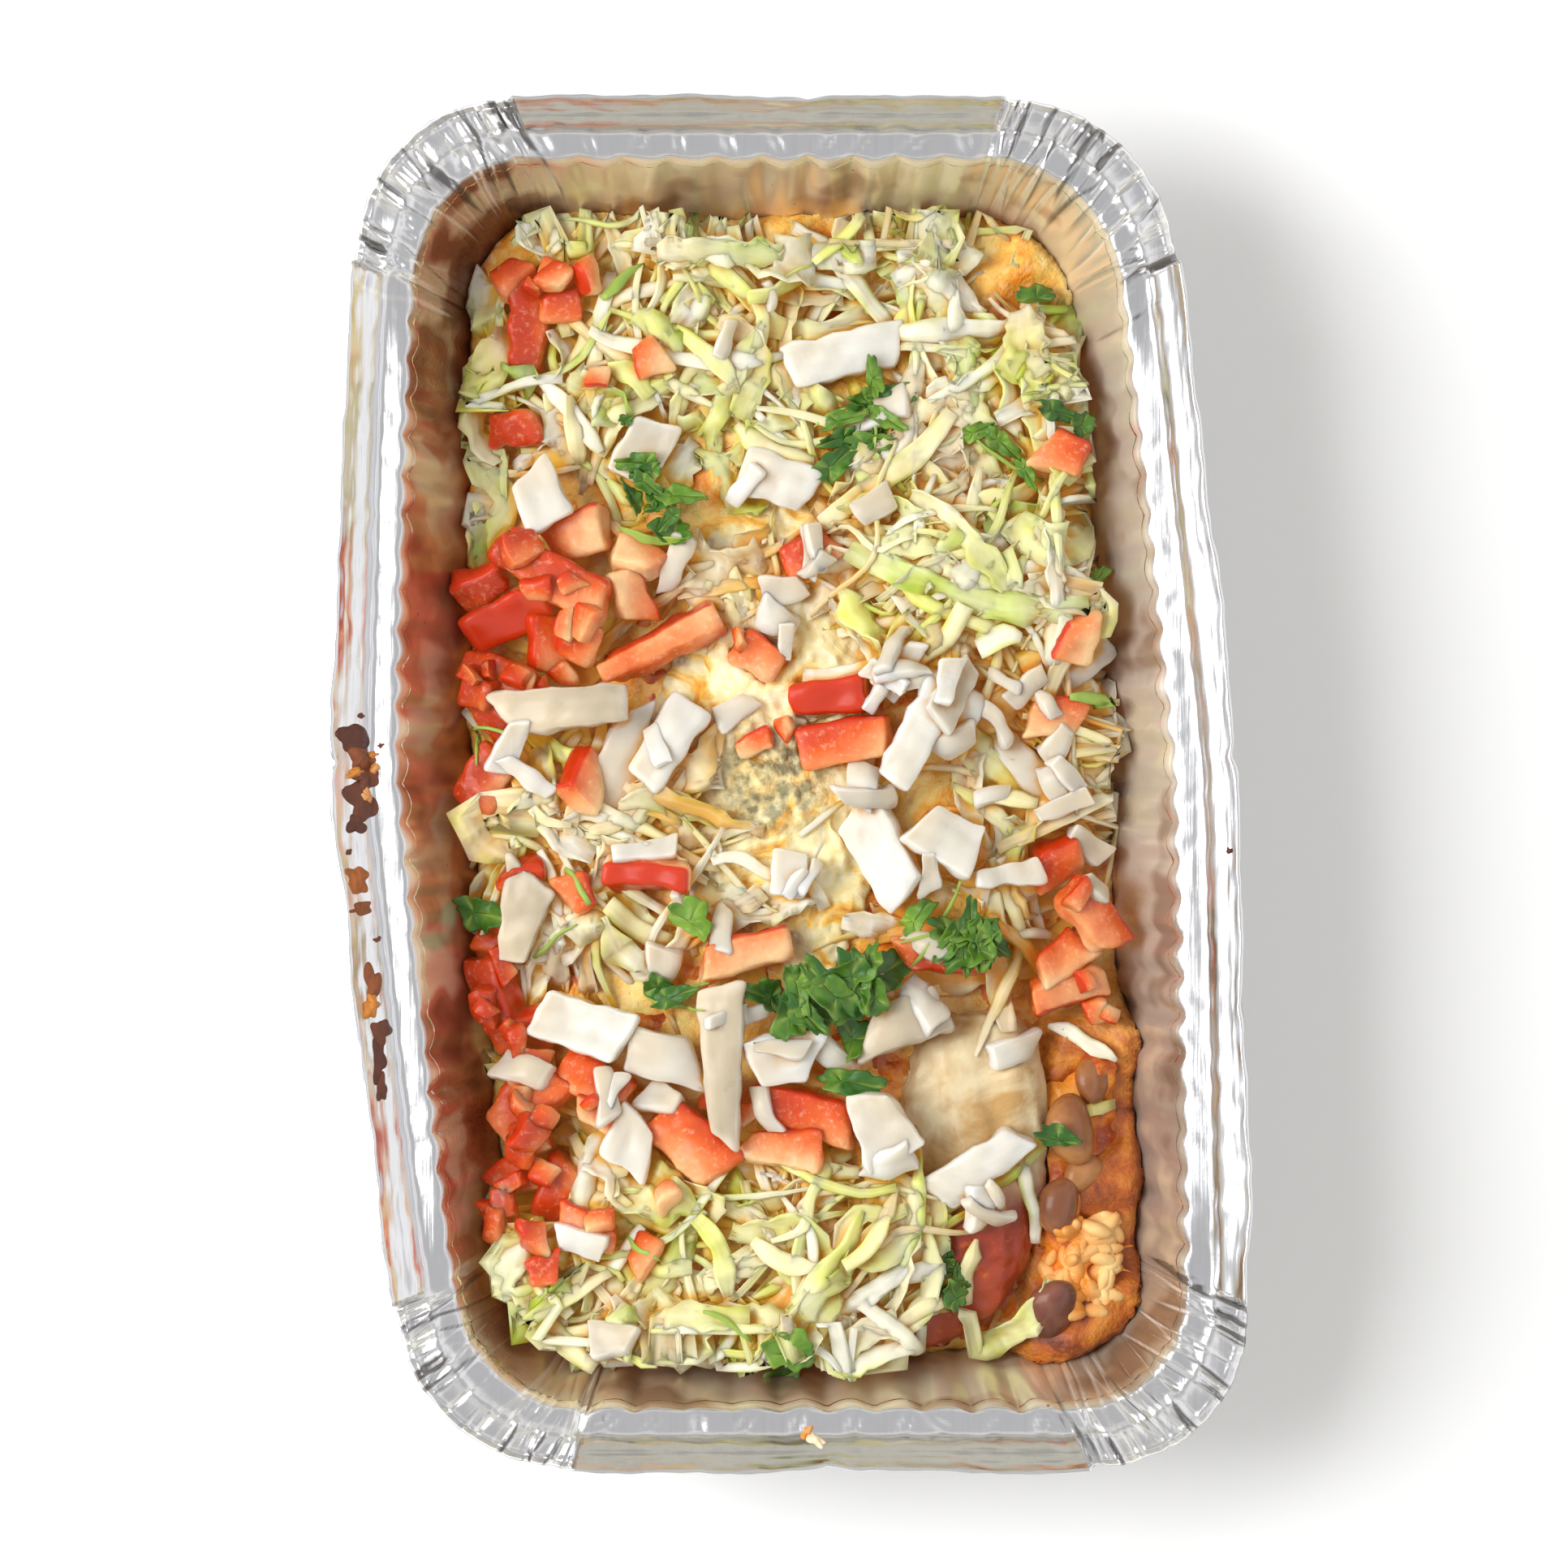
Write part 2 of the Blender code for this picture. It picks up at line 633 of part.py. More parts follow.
def swollen(obj, gap):
    """Points and triangles of an object in world space, grown outwards by gap mm."""
    shape = bmesh.new()
    shape.from_mesh(obj.data)
    shape.transform(obj.matrix_world)
    bmesh.ops.triangulate(shape, faces=shape.faces)
    shape.normal_update()
    moves = []
    for vertex in shape.verts:
        step = Vector()
        for face in vertex.link_faces:
            if all(face.normal.dot(other) < 0.97 for other in moves_seen(vertex, face)):
                step += face.normal
        moves.append(step.normalized() * gap * MM * corner_factor(vertex, step.normalized()))
    for vertex, move in zip(shape.verts, moves):
        vertex.co += move
    points = [v.co.copy() for v in shape.verts]
    faces = [[v.index for v in f.verts] for f in shape.faces]
    shape.free()
    return points, faces


def moves_seen(vertex, face):
    """Normals of the faces round a vertex that come before this one."""
    earlier = []
    for other in vertex.link_faces:
        if other is face:
            break
        earlier.append(other.normal)
    return earlier


def corner_factor(vertex, way):
    """How much further a corner has to move than its faces."""
    least = min((face.normal.dot(way) for face in vertex.link_faces), default=1.0)
    return 1 / max(0.45, least)


def raise_until_clear(obj, obstacles, step=0.4, tries=40):
    """Lifts a piece in small steps until it touches none of the pieces laid before it."""
    for _ in range(tries):
        mine = BVHTree.FromPolygons(*swollen(obj, GAP))
        if not any(mine.overlap(other) for other in obstacles):
            break
        obj.location.z += step * MM
        bpy.context.view_layer.update()
    obstacles.append(BVHTree.FromPolygons(*swollen(obj, 0.0)))


def shred_object(shred, lift, dice):
    """A strip that follows the salad's top, lies higher in its middle, and is cut off square at its ends."""
    start, end = Vector((shred.x0, shred.y0)), Vector((shred.x1, shred.y1))
    along = (end - start).normalized()
    sideways = Vector((-along.y, along.x))
    phase = dice.uniform(0, 6.28)
    rings = []
    for k in range(SHRED_STEPS + 1):
        share = k / SHRED_STEPS
        arch = 4 * share * (1 - share)
        spot = start.lerp(end, share) + sideways * shred.bow * arch
        half = shred.width / 2 * (0.75 + 0.25 * arch)
        twist = 0.35 * math.sin(phase + 3 * share)
        height = salad_top(*spot) - 0.4 + lift * arch
        ring = []
        for across, up in ((-1, -1), (1, -1), (1, 1), (-1, 1)):
            edge = spot + sideways * half * across
            edge = keep_inside(edge.x, edge.y, height, GAP + 0.5)
            up_mm = SHRED_THICKNESS / 2 * up + half * across * twist
            ring.append((edge[0], edge[1], height + up_mm))
        rings.append(ring)
    return mesh_object("shred", *ring_surface(rings), "lettuce")


def leaf_object(name, x, y, radius, turn, stalk, dice):
    """A lobed leaf, thin and wavy, with its stalk, both faces split alike."""
    phase = dice.uniform(0, 6.28)
    flat = [(0.0, 0.0)]
    for share in (0.55, 1.0):
        for i in range(LEAF_POINTS):
            angle = 2 * math.pi * i / LEAF_POINTS
            lobe = 0.62 + 0.38 * abs(math.cos(1.5 * angle)) ** 0.8
            tooth = 0.06 * (-1) ** i if share == 1.0 else 0.0
            reach = radius * share * (lobe + tooth)
            if i == LEAF_POINTS // 2 and stalk and share == 1.0:
                reach = radius + stalk
            flat.append((reach * math.cos(angle), reach * math.sin(angle)))
    turned = Matrix.Rotation(math.radians(turn), 2)
    points, count = [], len(flat)
    for side in (1, -1):
        for px, py in flat:
            spot = turned @ Vector((px, py)) + Vector((x, y))
            wave = 0.8 * math.sin(0.9 * px + phase) * math.cos(0.7 * py)
            height = salad_top(spot.x, spot.y) + 1.6 + wave
            spot = keep_inside(spot.x, spot.y, height, GAP + 0.5)
            points.append((spot[0], spot[1], height + side * LEAF_THICKNESS / 2))
    faces = []
    for i in range(LEAF_POINTS):
        j = (i + 1) % LEAF_POINTS
        inner, outer = 1, 1 + LEAF_POINTS
        for corners in (
            (0, inner + i, inner + j),
            (inner + i, outer + i, outer + j),
            (inner + i, outer + j, inner + j),
        ):
            faces.append(corners)
            faces.append(tuple(count + c for c in reversed(corners)))
        faces.append((outer + i, outer + j, count + outer + j, count + outer + i))
    return mesh_object(name, points, faces, "coriander")


def rice_grain(x, y, height, dice):
    ends = RICE_LENGTH / 2
    rings = []
    for along, radius in ((-ends, 0.5), (0, RICE_RADIUS), (ends, 0.5)):
        angles = [2 * math.pi * k / 5 for k in range(5)]
        rings.append([(along, radius * math.cos(a), radius * math.sin(a)) for a in angles])
    points, faces = ring_surface(rings)
    turn = Euler((dice.uniform(0, 3), dice.uniform(-0.4, 0.4), dice.uniform(0, 3.14))).to_matrix()
    points = [turn @ Vector(p) + Vector((x, y, height)) for p in points]
    return mesh_object("grain", points, faces, "beans_rice")


def build_side_dish(dice):
    core = blanket("beans_and_rice", SIDE_DISH, "beans_rice", around=14, inward=3)
    extras = beans_of("beans_and_rice", SIDE_DISH)
    for k in range(RICE_GRAINS):
        angle, reach = 2.4 * k, RICE_SPREAD * math.sqrt((k + 0.5) / RICE_GRAINS)
        x = RICE_CENTRE[0] + 0.6 * reach * math.cos(angle)
        y = RICE_CENTRE[1] + reach * math.sin(angle)
        x, y = keep_inside(x, y, bed_top(x, y) + 5, RICE_LENGTH / 2 + 0.5)
        extras.append(rice_grain(x, y, bed_top(x, y) + SIDE_DISH.thickness + 1.0, dice))
    return combine(core, extras, "UNION")


def combine(target, tools, operation):
    """Joins the tools to target, or cuts them from it, in one Boolean. What comes off loose is dropped."""
    if not tools:
        return target
    group = bpy.data.collections.new("tools")
    bpy.context.scene.collection.children.link(group)
    for tool in tools:
        group.objects.link(tool)
    modifier = target.modifiers.new("combine", "BOOLEAN")
    modifier.operation = operation
    modifier.operand_type = "COLLECTION"
    modifier.collection = group
    modifier.solver = "MANIFOLD"
    bpy.context.view_layer.update()
    graph = bpy.context.evaluated_depsgraph_get()
    mesh = bpy.data.meshes.new_from_object(target.evaluated_get(graph))
    target.modifiers.remove(modifier)
    target.data = mesh
    for tool in tools:
        bpy.data.objects.remove(tool, do_unlink=True)
    bpy.data.collections.remove(group)
    keep_largest_body(mesh)
    return target


def keep_largest_body(mesh):
    """Drops every loose scrap and every sealed hollow."""
    shape = bmesh.new()
    shape.from_mesh(mesh)
    bmesh.ops.dissolve_limit(shape, angle_limit=FLAT_ENOUGH, verts=shape.verts, edges=shape.edges)
    bmesh.ops.triangulate(shape, faces=shape.faces)
    left, bodies = set(shape.faces), []
    while left:
        body, todo = [], [left.pop()]
        while todo:
            face = todo.pop()
            body.append(face)
            for edge in face.edges:
                for other in edge.link_faces:
                    if other in left:
                        left.remove(other)
                        todo.append(other)
        bodies.append(body)
    bodies.sort(key=body_volume)
    scraps = [face for body in bodies[:-1] for face in body]
    bmesh.ops.delete(shape, geom=scraps, context="FACES")
    shape.to_mesh(mesh)
    shape.free()


def body_volume(body):
    return sum(f.verts[0].co.dot(f.verts[1].co.cross(f.verts[2].co)) / 6 for f in body)


def carve(target, others):
    """Cuts target back so that it stays clear of the pieces that it touches."""
    mine = BVHTree.FromPolygons(*swollen(target, 0.0))
    tools = []
    for other in others:
        points, faces = swollen(other, GAP)
        if mine.overlap(BVHTree.FromPolygons(points, faces)):
            mesh = bpy.data.meshes.new("clearance")
            mesh.from_pydata(points, [], faces)
            tool = bpy.data.objects.new("clearance", mesh)
            bpy.context.scene.collection.objects.link(tool)
            tools.append(tool)
    return combine(target, tools, "DIFFERENCE")


def build_heap(name, patch, dice):
    """One heap of salad: a core with its shreds and smaller cuts fused on."""
    core = blanket(name, patch, "lettuce")
    extras = [
        shred_object(shred, dice.uniform(0.6, 1.8), dice) for shred in SHREDS if shred.heap == name
    ]
    for chunk in SMALL_CUTS[name]:
        extras.append(lay_chunk("cut", chunk, SMALL_CUT_THICKNESS, 0.0, "lettuce", dice))
    extras += beans_of(name, patch)
    return combine(core, extras, "UNION")


def main():
    clear_scene()
    dice = random.Random(6)
    tray = build_tray()
    bed = build_bed()
    roll = carve(build_roll(), [bed, tray])
    cheese = carve(blanket("melted_cheese", CHEESE, "cheese"), [bed, roll])

    obstacles = [BVHTree.FromPolygons(*swollen(obj, 0.0)) for obj in (tray, bed, roll)]
    toppings = []
    for i, chunk in enumerate(TOMATOES):
        piece = lay_chunk(f"tomato_{i + 1:02d}", chunk, TOMATO_THICKNESS, 0.0, "tomato", dice)
        raise_until_clear(piece, obstacles)
        toppings.append(piece)
    for i, chunk in enumerate(ONIONS):
        piece = lay_chunk(f"onion_{i + 1:02d}", chunk, ONION_THICKNESS, ONION_BEND, "onion", dice)
        raise_until_clear(piece, obstacles)
        toppings.append(piece)
    for i, leaf in enumerate(LEAVES):
        piece = leaf_object(f"coriander_{i + 1}", *leaf, dice)
        raise_until_clear(piece, obstacles)
        toppings.append(piece)

    carve(cheese, toppings)
    laid = [bed, roll, cheese, tray]
    for name, patch in HEAPS.items():
        heap = build_heap(name, patch, dice)
        carve(heap, laid + toppings)
        laid.append(heap)
    carve(build_side_dish(dice), laid + toppings)


main()
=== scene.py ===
"""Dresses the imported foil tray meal: crinkled foil, sauced enchiladas under melted cheese, shredded lettuce,
chopped tomato and onion, coriander, beans and rice.

Sizes are in millimetres where a name or a table says so and are multiplied by MM. All else is in metres.
"""

import json
import math
from typing import NamedTuple

import bmesh
import bpy
import numpy as np
from bpy.props import FloatProperty, FloatVectorProperty, IntProperty, PointerProperty
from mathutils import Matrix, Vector
from mathutils.bvhtree import BVHTree

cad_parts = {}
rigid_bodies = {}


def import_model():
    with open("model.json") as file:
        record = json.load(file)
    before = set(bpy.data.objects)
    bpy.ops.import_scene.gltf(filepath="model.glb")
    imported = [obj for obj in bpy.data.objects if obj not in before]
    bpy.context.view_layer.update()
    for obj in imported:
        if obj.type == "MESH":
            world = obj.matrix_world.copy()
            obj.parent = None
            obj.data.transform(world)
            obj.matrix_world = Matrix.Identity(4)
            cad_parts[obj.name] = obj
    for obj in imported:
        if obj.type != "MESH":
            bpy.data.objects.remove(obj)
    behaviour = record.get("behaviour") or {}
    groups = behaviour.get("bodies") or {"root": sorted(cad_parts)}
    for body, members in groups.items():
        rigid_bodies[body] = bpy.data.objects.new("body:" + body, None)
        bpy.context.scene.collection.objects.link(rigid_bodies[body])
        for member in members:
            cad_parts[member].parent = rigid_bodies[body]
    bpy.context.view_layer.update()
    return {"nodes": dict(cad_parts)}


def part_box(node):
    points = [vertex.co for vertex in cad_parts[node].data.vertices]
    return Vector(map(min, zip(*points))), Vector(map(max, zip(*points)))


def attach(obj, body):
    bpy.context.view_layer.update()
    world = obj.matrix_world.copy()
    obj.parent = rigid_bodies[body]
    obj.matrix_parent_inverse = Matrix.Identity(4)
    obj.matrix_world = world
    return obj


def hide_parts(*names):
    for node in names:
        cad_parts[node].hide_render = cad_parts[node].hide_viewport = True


bl_info = {
    "name": "Foil Tray Meal",
    "version": (1, 0, 0),
    "blender": (4, 5, 0),
    "location": "View3D > Sidebar > Meal",
    "description": "Builds the foil tray and the food in it, piece by piece",
    "category": "Object",
}

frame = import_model()

MM = 0.001
BODY = "root"
TRAY_LOW, TRAY_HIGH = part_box("foil_tray")

# The tray, as the solid has it, in mm.
RIM_HALF_WIDTH = 68.2
RIM_HALF_LENGTH = (TRAY_HIGH[1] - TRAY_LOW[1]) / 2 / MM
RIM_CORNER_RADIUS = 26.0
CORNER_TIGHTENING = 0.6
LIP_HEIGHT = TRAY_HIGH[2] / MM
SHOULDER_HEIGHT = LIP_HEIGHT - 6.4
WALL_HEAD_INSET = 10.8
WALL_HEAD_HEIGHT = SHOULDER_HEIGHT - 2.0
WALL_FOOT_INSET = 22.0
WALL_FOOT_HEIGHT = 5.0
BOW_LEFT = 7.4
BOW_RIGHT = 4.3
BOW_REACH = 86.0
BOW_CENTRE_Y = 2.5
BOW_ROUNDNESS = 0.8
TAPER = 0.026
LEAN = -0.0524
LEAN_SHIFT_X = 0.8

# Rings of the tray's skin, from the middle of the floor over the rim and back under. Each row is the inset
# and the height on the straight sides, the same at the corners, then its share of the flutes, of the
# corner creases and of the outer band's pleats. The shoulder's heights are above SHOULDER_HEIGHT.
FLOOR_RINGS = (
    (45.0, 0.5, 45.0, 0.5, 0.0, 0.0, 0.0),
    (27.6, 0.5, 27.6, 0.5, 0.0, 0.0, 0.0),
    (25.0, 1.5, 25.0, 1.5, 0.3, 0.0, 0.0),
    (23.4, 3.2, 23.4, 3.2, 0.7, 0.1, 0.0),
)
WALL_STEPS = 15
SHOULDER_RINGS = (
    (10.4, -1.1, 10.4, -1.1, 0.95, 1.0, 0.0),
    (9.9, -0.35, 9.9, -0.35, 0.75, 1.0, 0.0),
    (9.4, -0.02, 9.4, -0.02, 0.45, 1.0, 0.0),
    (8.8, 0.08, 8.8, 0.08, 0.15, 1.0, 0.0),
    (7.9, 0.1, 7.9, 0.15, 0.0, 1.0, 0.0),
    (7.0, 0.1, 7.0, 0.2, 0.0, 1.0, 0.0),
    (6.2, 0.1, 6.2, 0.3, 0.0, 1.0, 0.1),
    (5.6, 0.15, 5.7, 0.6, 0.0, 1.0, 0.3),
    (5.2, 0.5, 5.2, 0.75, 0.0, 0.9, 0.6),
    (4.9, 1.2, 4.7, 0.5, 0.0, 0.8, 0.8),
    (4.4, 2.0, 4.0, 0.35, 0.0, 0.7, 1.0),
    (3.7, 2.7, 3.2, 0.25, 0.0, 0.6, 1.0),
    (2.9, 3.3, 2.4, 0.2, 0.0, 0.6, 1.0),
    (2.1, 3.9, 1.8, 0.25, 0.0, 0.6, 1.0),
    (1.75, 4.5, 1.5, 0.45, 0.0, 0.6, 1.0),
    (1.35, 4.7, 1.1, 0.35, 0.0, 0.6, 1.0),
    (1.1, 5.5, 0.8, -0.1, 0.0, 0.6, 1.0),
    (0.75, 5.75, 0.6, -0.15, 0.0, 0.6, 1.0),
    (0.55, 6.4, 0.35, -0.6, 0.0, 0.6, 1.0),
    (0.1, 6.2, 0.1, -1.1, 0.0, 0.6, 1.0),
    (0.0, 5.3, 0.4, -1.2, 0.0, 0.6, 1.0),
    (0.9, 4.0, 1.0, -0.8, 0.0, 0.6, 1.0),
    (4.9, -0.2, 4.9, -0.2, 0.0, 0.9, 0.5),
    (9.4, -0.7, 9.4, -0.7, 0.4, 1.0, 0.0),
    (10.7, -1.6, 10.7, -1.6, 0.95, 1.0, 0.0),
)
UNDER_WALL_STEPS = 9
UNDER_RINGS = (
    (23.2, 2.6, 23.2, 2.6, 0.7, 0.1, 0.0),
    (25.4, 0.5, 25.4, 0.5, 0.3, 0.0, 0.0),
    (27.6, 0.0, 27.6, 0.0, 0.0, 0.0, 0.0),
    (45.0, 0.0, 45.0, 0.0, 0.0, 0.0, 0.0),
)
HAZY_RINGS = len(FLOOR_RINGS) + WALL_STEPS + 3  # the rings from the floor to the head of the wall
FOOD_FLOOR = 12.0  # how high the food's relief starts from, in mm
FOIL_OUTWARD = 0.45  # how far the outer skin of the wall stands outside the inner one
SIDE_SPACING = 0.85
CORNER_SPACING = 0.27
NOTCH = 1.0
LONG_FLUTE_PITCH = 6.6
SHORT_FLUTE_PITCH = 8.4
LIP_KINKS = ((73.2, 4.6), (3.0, 111.5), (-74.9, 3.3), (6.3, -111.8))
# The left shelf tips outwards and the right one inwards, which is how each catches the light.
SHELF_TIP_LEFT = -0.9
SHELF_TIP_RIGHT = 1.1


class Patch(NamedTuple):
    """A heap's outline seen from above, as a wavering superellipse, in mm."""

    x: float
    y: float
    half_width: float
    half_length: float
    waver: float


HEAPS = {
    "lettuce_north": Patch(-3, 61, 47, 31, 0.05),
    "lettuce_west": Patch(-35, 2, 17, 30, 0.06),
    "lettuce_east": Patch(32, 6, 22, 37, 0.05),
    "lettuce_south": Patch(-9, -66, 41, 31, 0.05),
}


class Cut(NamedTuple):
    """A loose chopped piece: where its middle lies, its length and width, and its turn in degrees."""

    x: float
    y: float
    length: float
    width: float
    turn: float


class Zone(NamedTuple):
    """An oval over which small pieces lie, and how many."""

    x: float
    y: float
    half_x: float
    half_y: float
    count: int = 0


LOOSE_TOMATOES = (
    Cut(-38, 79, 7.0, 5.3, 10), Cut(-52, 33, 9.2, 5.5, 25), Cut(-26, 31, 9.0, 5.8, -70),
    Cut(-25, 37, 8.6, 5.9, -20), Cut(-40, 23, 9.5, 6.6, 85), Cut(-34, 24, 8.2, 6.1, 60),
    Cut(-49, 13, 11.2, 6.9, -40), Cut(-34, 1, 9.9, 6.6, 70), Cut(-44, -15, 6.9, 5.3, 0),
    Cut(-35, -18, 6.3, 5.3, -60), Cut(-50, -26, 7.6, 5.5, 0), Cut(-44, -41, 11.2, 6.9, 10),
    Cut(-50, -50, 9.9, 7.7, -40), Cut(-31, -54, 7.9, 5.3, -20), Cut(-1, -60, 13.2, 6.1, -5),
    Cut(-45, -65, 7.9, 6.6, 30), Cut(-33, -73, 9.9, 5.9, -20), Cut(-24, -77, 6.6, 4.8, 60),
    Cut(47, 24, 7.9, 6.3, 70), Cut(44, 11, 9.5, 6.6, 0), Cut(45, -29, 10.3, 6.3, 40),
    Cut(45, 54, 7.7, 6.9, -20), Cut(-46, 84, 6.5, 5.0, 40), Cut(-39, 84, 6.0, 4.6, -30),
)
LOOSE_ONIONS = (
    Cut(-19, 36, 10.6, 3.4, 68), Cut(-1, 32, 7.3, 4.8, 10), Cut(-2, 27, 7.3, 5.0, -30),
    Cut(29, 13, 6.6, 5.5, 85), Cut(27, 7, 7.9, 5.0, 20), Cut(12, 0, 7.3, 5.0, 80), Cut(44, 6, 7.9, 4.2, 60),
    Cut(36, -15, 11.2, 3.7, 8), Cut(0, -15, 7.7, 5.8, 85), Cut(-24, -11, 11.2, 3.4, 8),
    Cut(-21, -30, 6.6, 5.3, 80), Cut(-44, -47, 9.9, 5.0, -15), Cut(-21, -52, 6.6, 5.0, -20),
    Cut(-26, -59, 9.2, 7.7, 70), Cut(-34, -75, 8.2, 4.5, -18), Cut(-29, -91, 7.7, 5.5, 0),
    Cut(16, -62, 9.2, 5.0, 15), Cut(22, -36, 9.5, 5.3, -50), Cut(8, -45, 8.7, 3.7, -25),
    Cut(37, -44, 9.2, 4.2, 18), Cut(32, -69, 7.7, 6.1, -80), Cut(49, -10, 8.4, 3.7, -38),
    Cut(50, -17, 5.3, 3.2, -40), Cut(44, -1, 9.0, 3.6, -60), Cut(39, 16, 8.0, 3.4, 40),
    Cut(14, 46, 7.0, 5.0, 30), Cut(-9, 12, 7.0, 4.0, 30),
)
# Cut pieces that have gone glassy.
WET_ONIONS = ("onion_05", "onion_16", "onion_13", "onion_20")
TOMATO_ZONES = (
    Zone(-44, 27, 11, 18, 12), Zone(-47, -45, 8, 22, 14), Zone(-24, -58, 20, 12, 9),
    Zone(-32, 76, 16, 10, 5), Zone(50, -28, 6, 16, 4), Zone(0, 16, 12, 14, 3), Zone(-40, -74, 12, 10, 7),
)
ONION_ZONES = (
    Zone(-2, 32, 10, 10, 4), Zone(28, 4, 20, 22, 15), Zone(4, -20, 26, 12, 6), Zone(-14, -46, 30, 12, 6),
    Zone(28, -64, 14, 8, 2), Zone(0, 66, 34, 18, 4), Zone(-30, 4, 18, 14, 3),
)
CLEAR_ZONES = (
    Zone(28, -50, 14, 9), Zone(38.5, -72, 5, 8), Zone(36, -79, 6, 7), Zone(33, -85, 7, 6),
    Zone(27, -91, 8, 5), Zone(50, -66, 8, 26), Zone(-14, 44, 6, 6), Zone(-4, 3, 9, 8), Zone(-8, 16, 8, 6),
    Zone(2, 24, 5, 6), Zone(-20, 22, 5, 6), Zone(2, 93, 8, 4), Zone(35, 83, 6, 6),
)


class Strip(NamedTuple):
    """A strip that stands out in its heap: its ends, sideways bow and width in mm, and its tint."""

    x0: float
    y0: float
    x1: float
    y1: float
    bow: float
    width: float
    tint: str


STRIPS = {
    "lettuce_north": (
        Strip(0, 93, 16, 76, 1.1, 3.2, "white"), Strip(-33, 75, -1, 71, -2.9, 3.4, "white"),
        Strip(16, 74, 39, 76, 0.0, 4.0, "white"), Strip(38, 75, 23, 63, 1.6, 2.0, "white"),
        Strip(35, 70, 38, 57, -0.5, 3.4, "white"), Strip(27, 61, 5, 43, 1.3, 4.0, "cream"),
        Strip(-42, 67, -31, 55, 0.5, 2.9, "white"), Strip(-37, 64, -35, 53, 0.5, 3.2, "cream"),
        Strip(-15, 93, -5, 79, -1.6, 2.9, "pale"), Strip(-19, 95, -21, 85, 1.1, 2.9, "pale"),
        Strip(-7, 80, 4, 86, -0.8, 3.3, "pale"), Strip(18, 82, 32, 91, 0.0, 7.9, "white"),
        Strip(-30, 50, -20, 50, -2.6, 3.2, "green"), Strip(-49, 51, -54, 38, 1.1, 5.0, "pale"),
        Strip(-9, 59, 4, 53, -1.1, 3.7, "cream"), Strip(-30, 69, -23, 64, 1.1, 3.4, "pale"),
        Strip(29, 47, 42, 50, -1.3, 3.4, "cream"), Strip(-19, 75, -9, 65, 1.2, 3.2, "pale"),
    ),
    "lettuce_east": (
        Strip(10, 39, 49, 29, -3.4, 4.8, "green"), Strip(29, 29, 17, 18, 1.3, 3.4, "cream"),
        Strip(9, 32, 16, 22, -0.8, 5.8, "pale"), Strip(37, 43, 50, 42, -3.2, 7.9, "pale"),
        Strip(31, 22, 38, 24, 0.8, 4.0, "white"), Strip(27, 0, 41, -3, -0.8, 3.4, "cream"),
    ),
    "lettuce_west": (
        Strip(-45, 4, -36, -7, -3.2, 2.0, "cream"), Strip(-41, -11, -38, -28, 1.1, 1.8, "white"),
        Strip(-44, 9, -31, 3, -0.8, 3.2, "pale"), Strip(-30, -20, -19, -26, -1.1, 3.4, "cream"),
        Strip(-28, -3, -12, -6, 1.3, 4.5, "wilted"),
    ),
    "lettuce_south": (
        Strip(1, -86, 12, -70, -0.8, 3.7, "pale"), Strip(12, -85, 23, -97, 1.1, 2.6, "white"),
        Strip(5, -98, 20, -92, 0.0, 3.2, "white"), Strip(31, -75, 29, -86, -0.8, 2.6, "cream"),
        Strip(38, -62, 41, -76, 0.4, 2.4, "white"), Strip(28, -96, 43, -82, -2.4, 4.5, "pale"),
        Strip(-40, -86, -32, -96, -1.3, 3.2, "cream"), Strip(-29, -84, -22, -97, 0.0, 3.2, "white"),
        Strip(-24, -79, -16, -79, -0.8, 2.9, "pale"), Strip(-15, -71, -10, -84, 1.3, 3.4, "pale"),
        Strip(-6, -75, 5, -79, -1.1, 3.2, "cream"), Strip(16, -71, 9, -79, 0.7, 2.9, "cream"),
        Strip(43, -40, 54, -46, 0.6, 2.4, "white"), Strip(43, -54, 54, -53, -1.0, 2.0, "pale"),
    ),
}

# Colours as seen, 0 to 255.
TINTS = {
    "white": (240, 236, 208),
    "cream": (236, 224, 162),
    "pale": (220, 222, 122),
    "green": (190, 208, 86),
    "vivid": (140, 176, 44),
    "beige": (232, 200, 144),
    "wilted": (210, 196, 136),
    "honey": (232, 174, 84),
}


def seen(red, green, blue):
    """A colour as seen, 0 to 255, as the linear colour that a shader takes."""
    shares = [c / 255 for c in (red, green, blue)]
    return tuple(s / 12.92 if s <= 0.04045 else ((s + 0.055) / 1.055) ** 2.4 for s in shares)


def ripples(points, wavelength, seed, waves=10):
    """Smooth, seeded, uneven waves through space, from about -1 to 1, for an array of points."""
    dice = np.random.default_rng(seed)
    ways = dice.normal(size=(waves, 3))
    ways /= np.linalg.norm(ways, axis=1)[:, None]
    ways *= 2 * math.pi / wavelength * dice.uniform(0.6, 1.6, (waves, 1))
    phases = dice.uniform(0, 2 * math.pi, waves)
    return np.sin(points @ ways.T + phases).sum(axis=1) / math.sqrt(waves)


def smooth_step(low, high, value):
    share = np.clip((value - low) / (high - low), 0, 1)
    return share * share * (3 - 2 * share)


def side_stretch(bow, y, height):
    """How much wider than new the tray is on one side of its middle, at this place and height, in mm."""
    peak = np.clip(1 - np.abs(y - BOW_CENTRE_Y) / BOW_REACH, 0, 1) ** BOW_ROUNDNESS
    level = np.clip(height / SHOULDER_HEIGHT, 0, 1)
    return 1 - TAPER * y / RIM_HALF_LENGTH + bow * peak * level / RIM_HALF_WIDTH


def pushed_out_of_shape(x, y, height):
    bow = np.where(x < 0, BOW_LEFT, BOW_RIGHT)
    return x * side_stretch(bow, y, height) + LEAN * y + LEAN_SHIFT_X, y


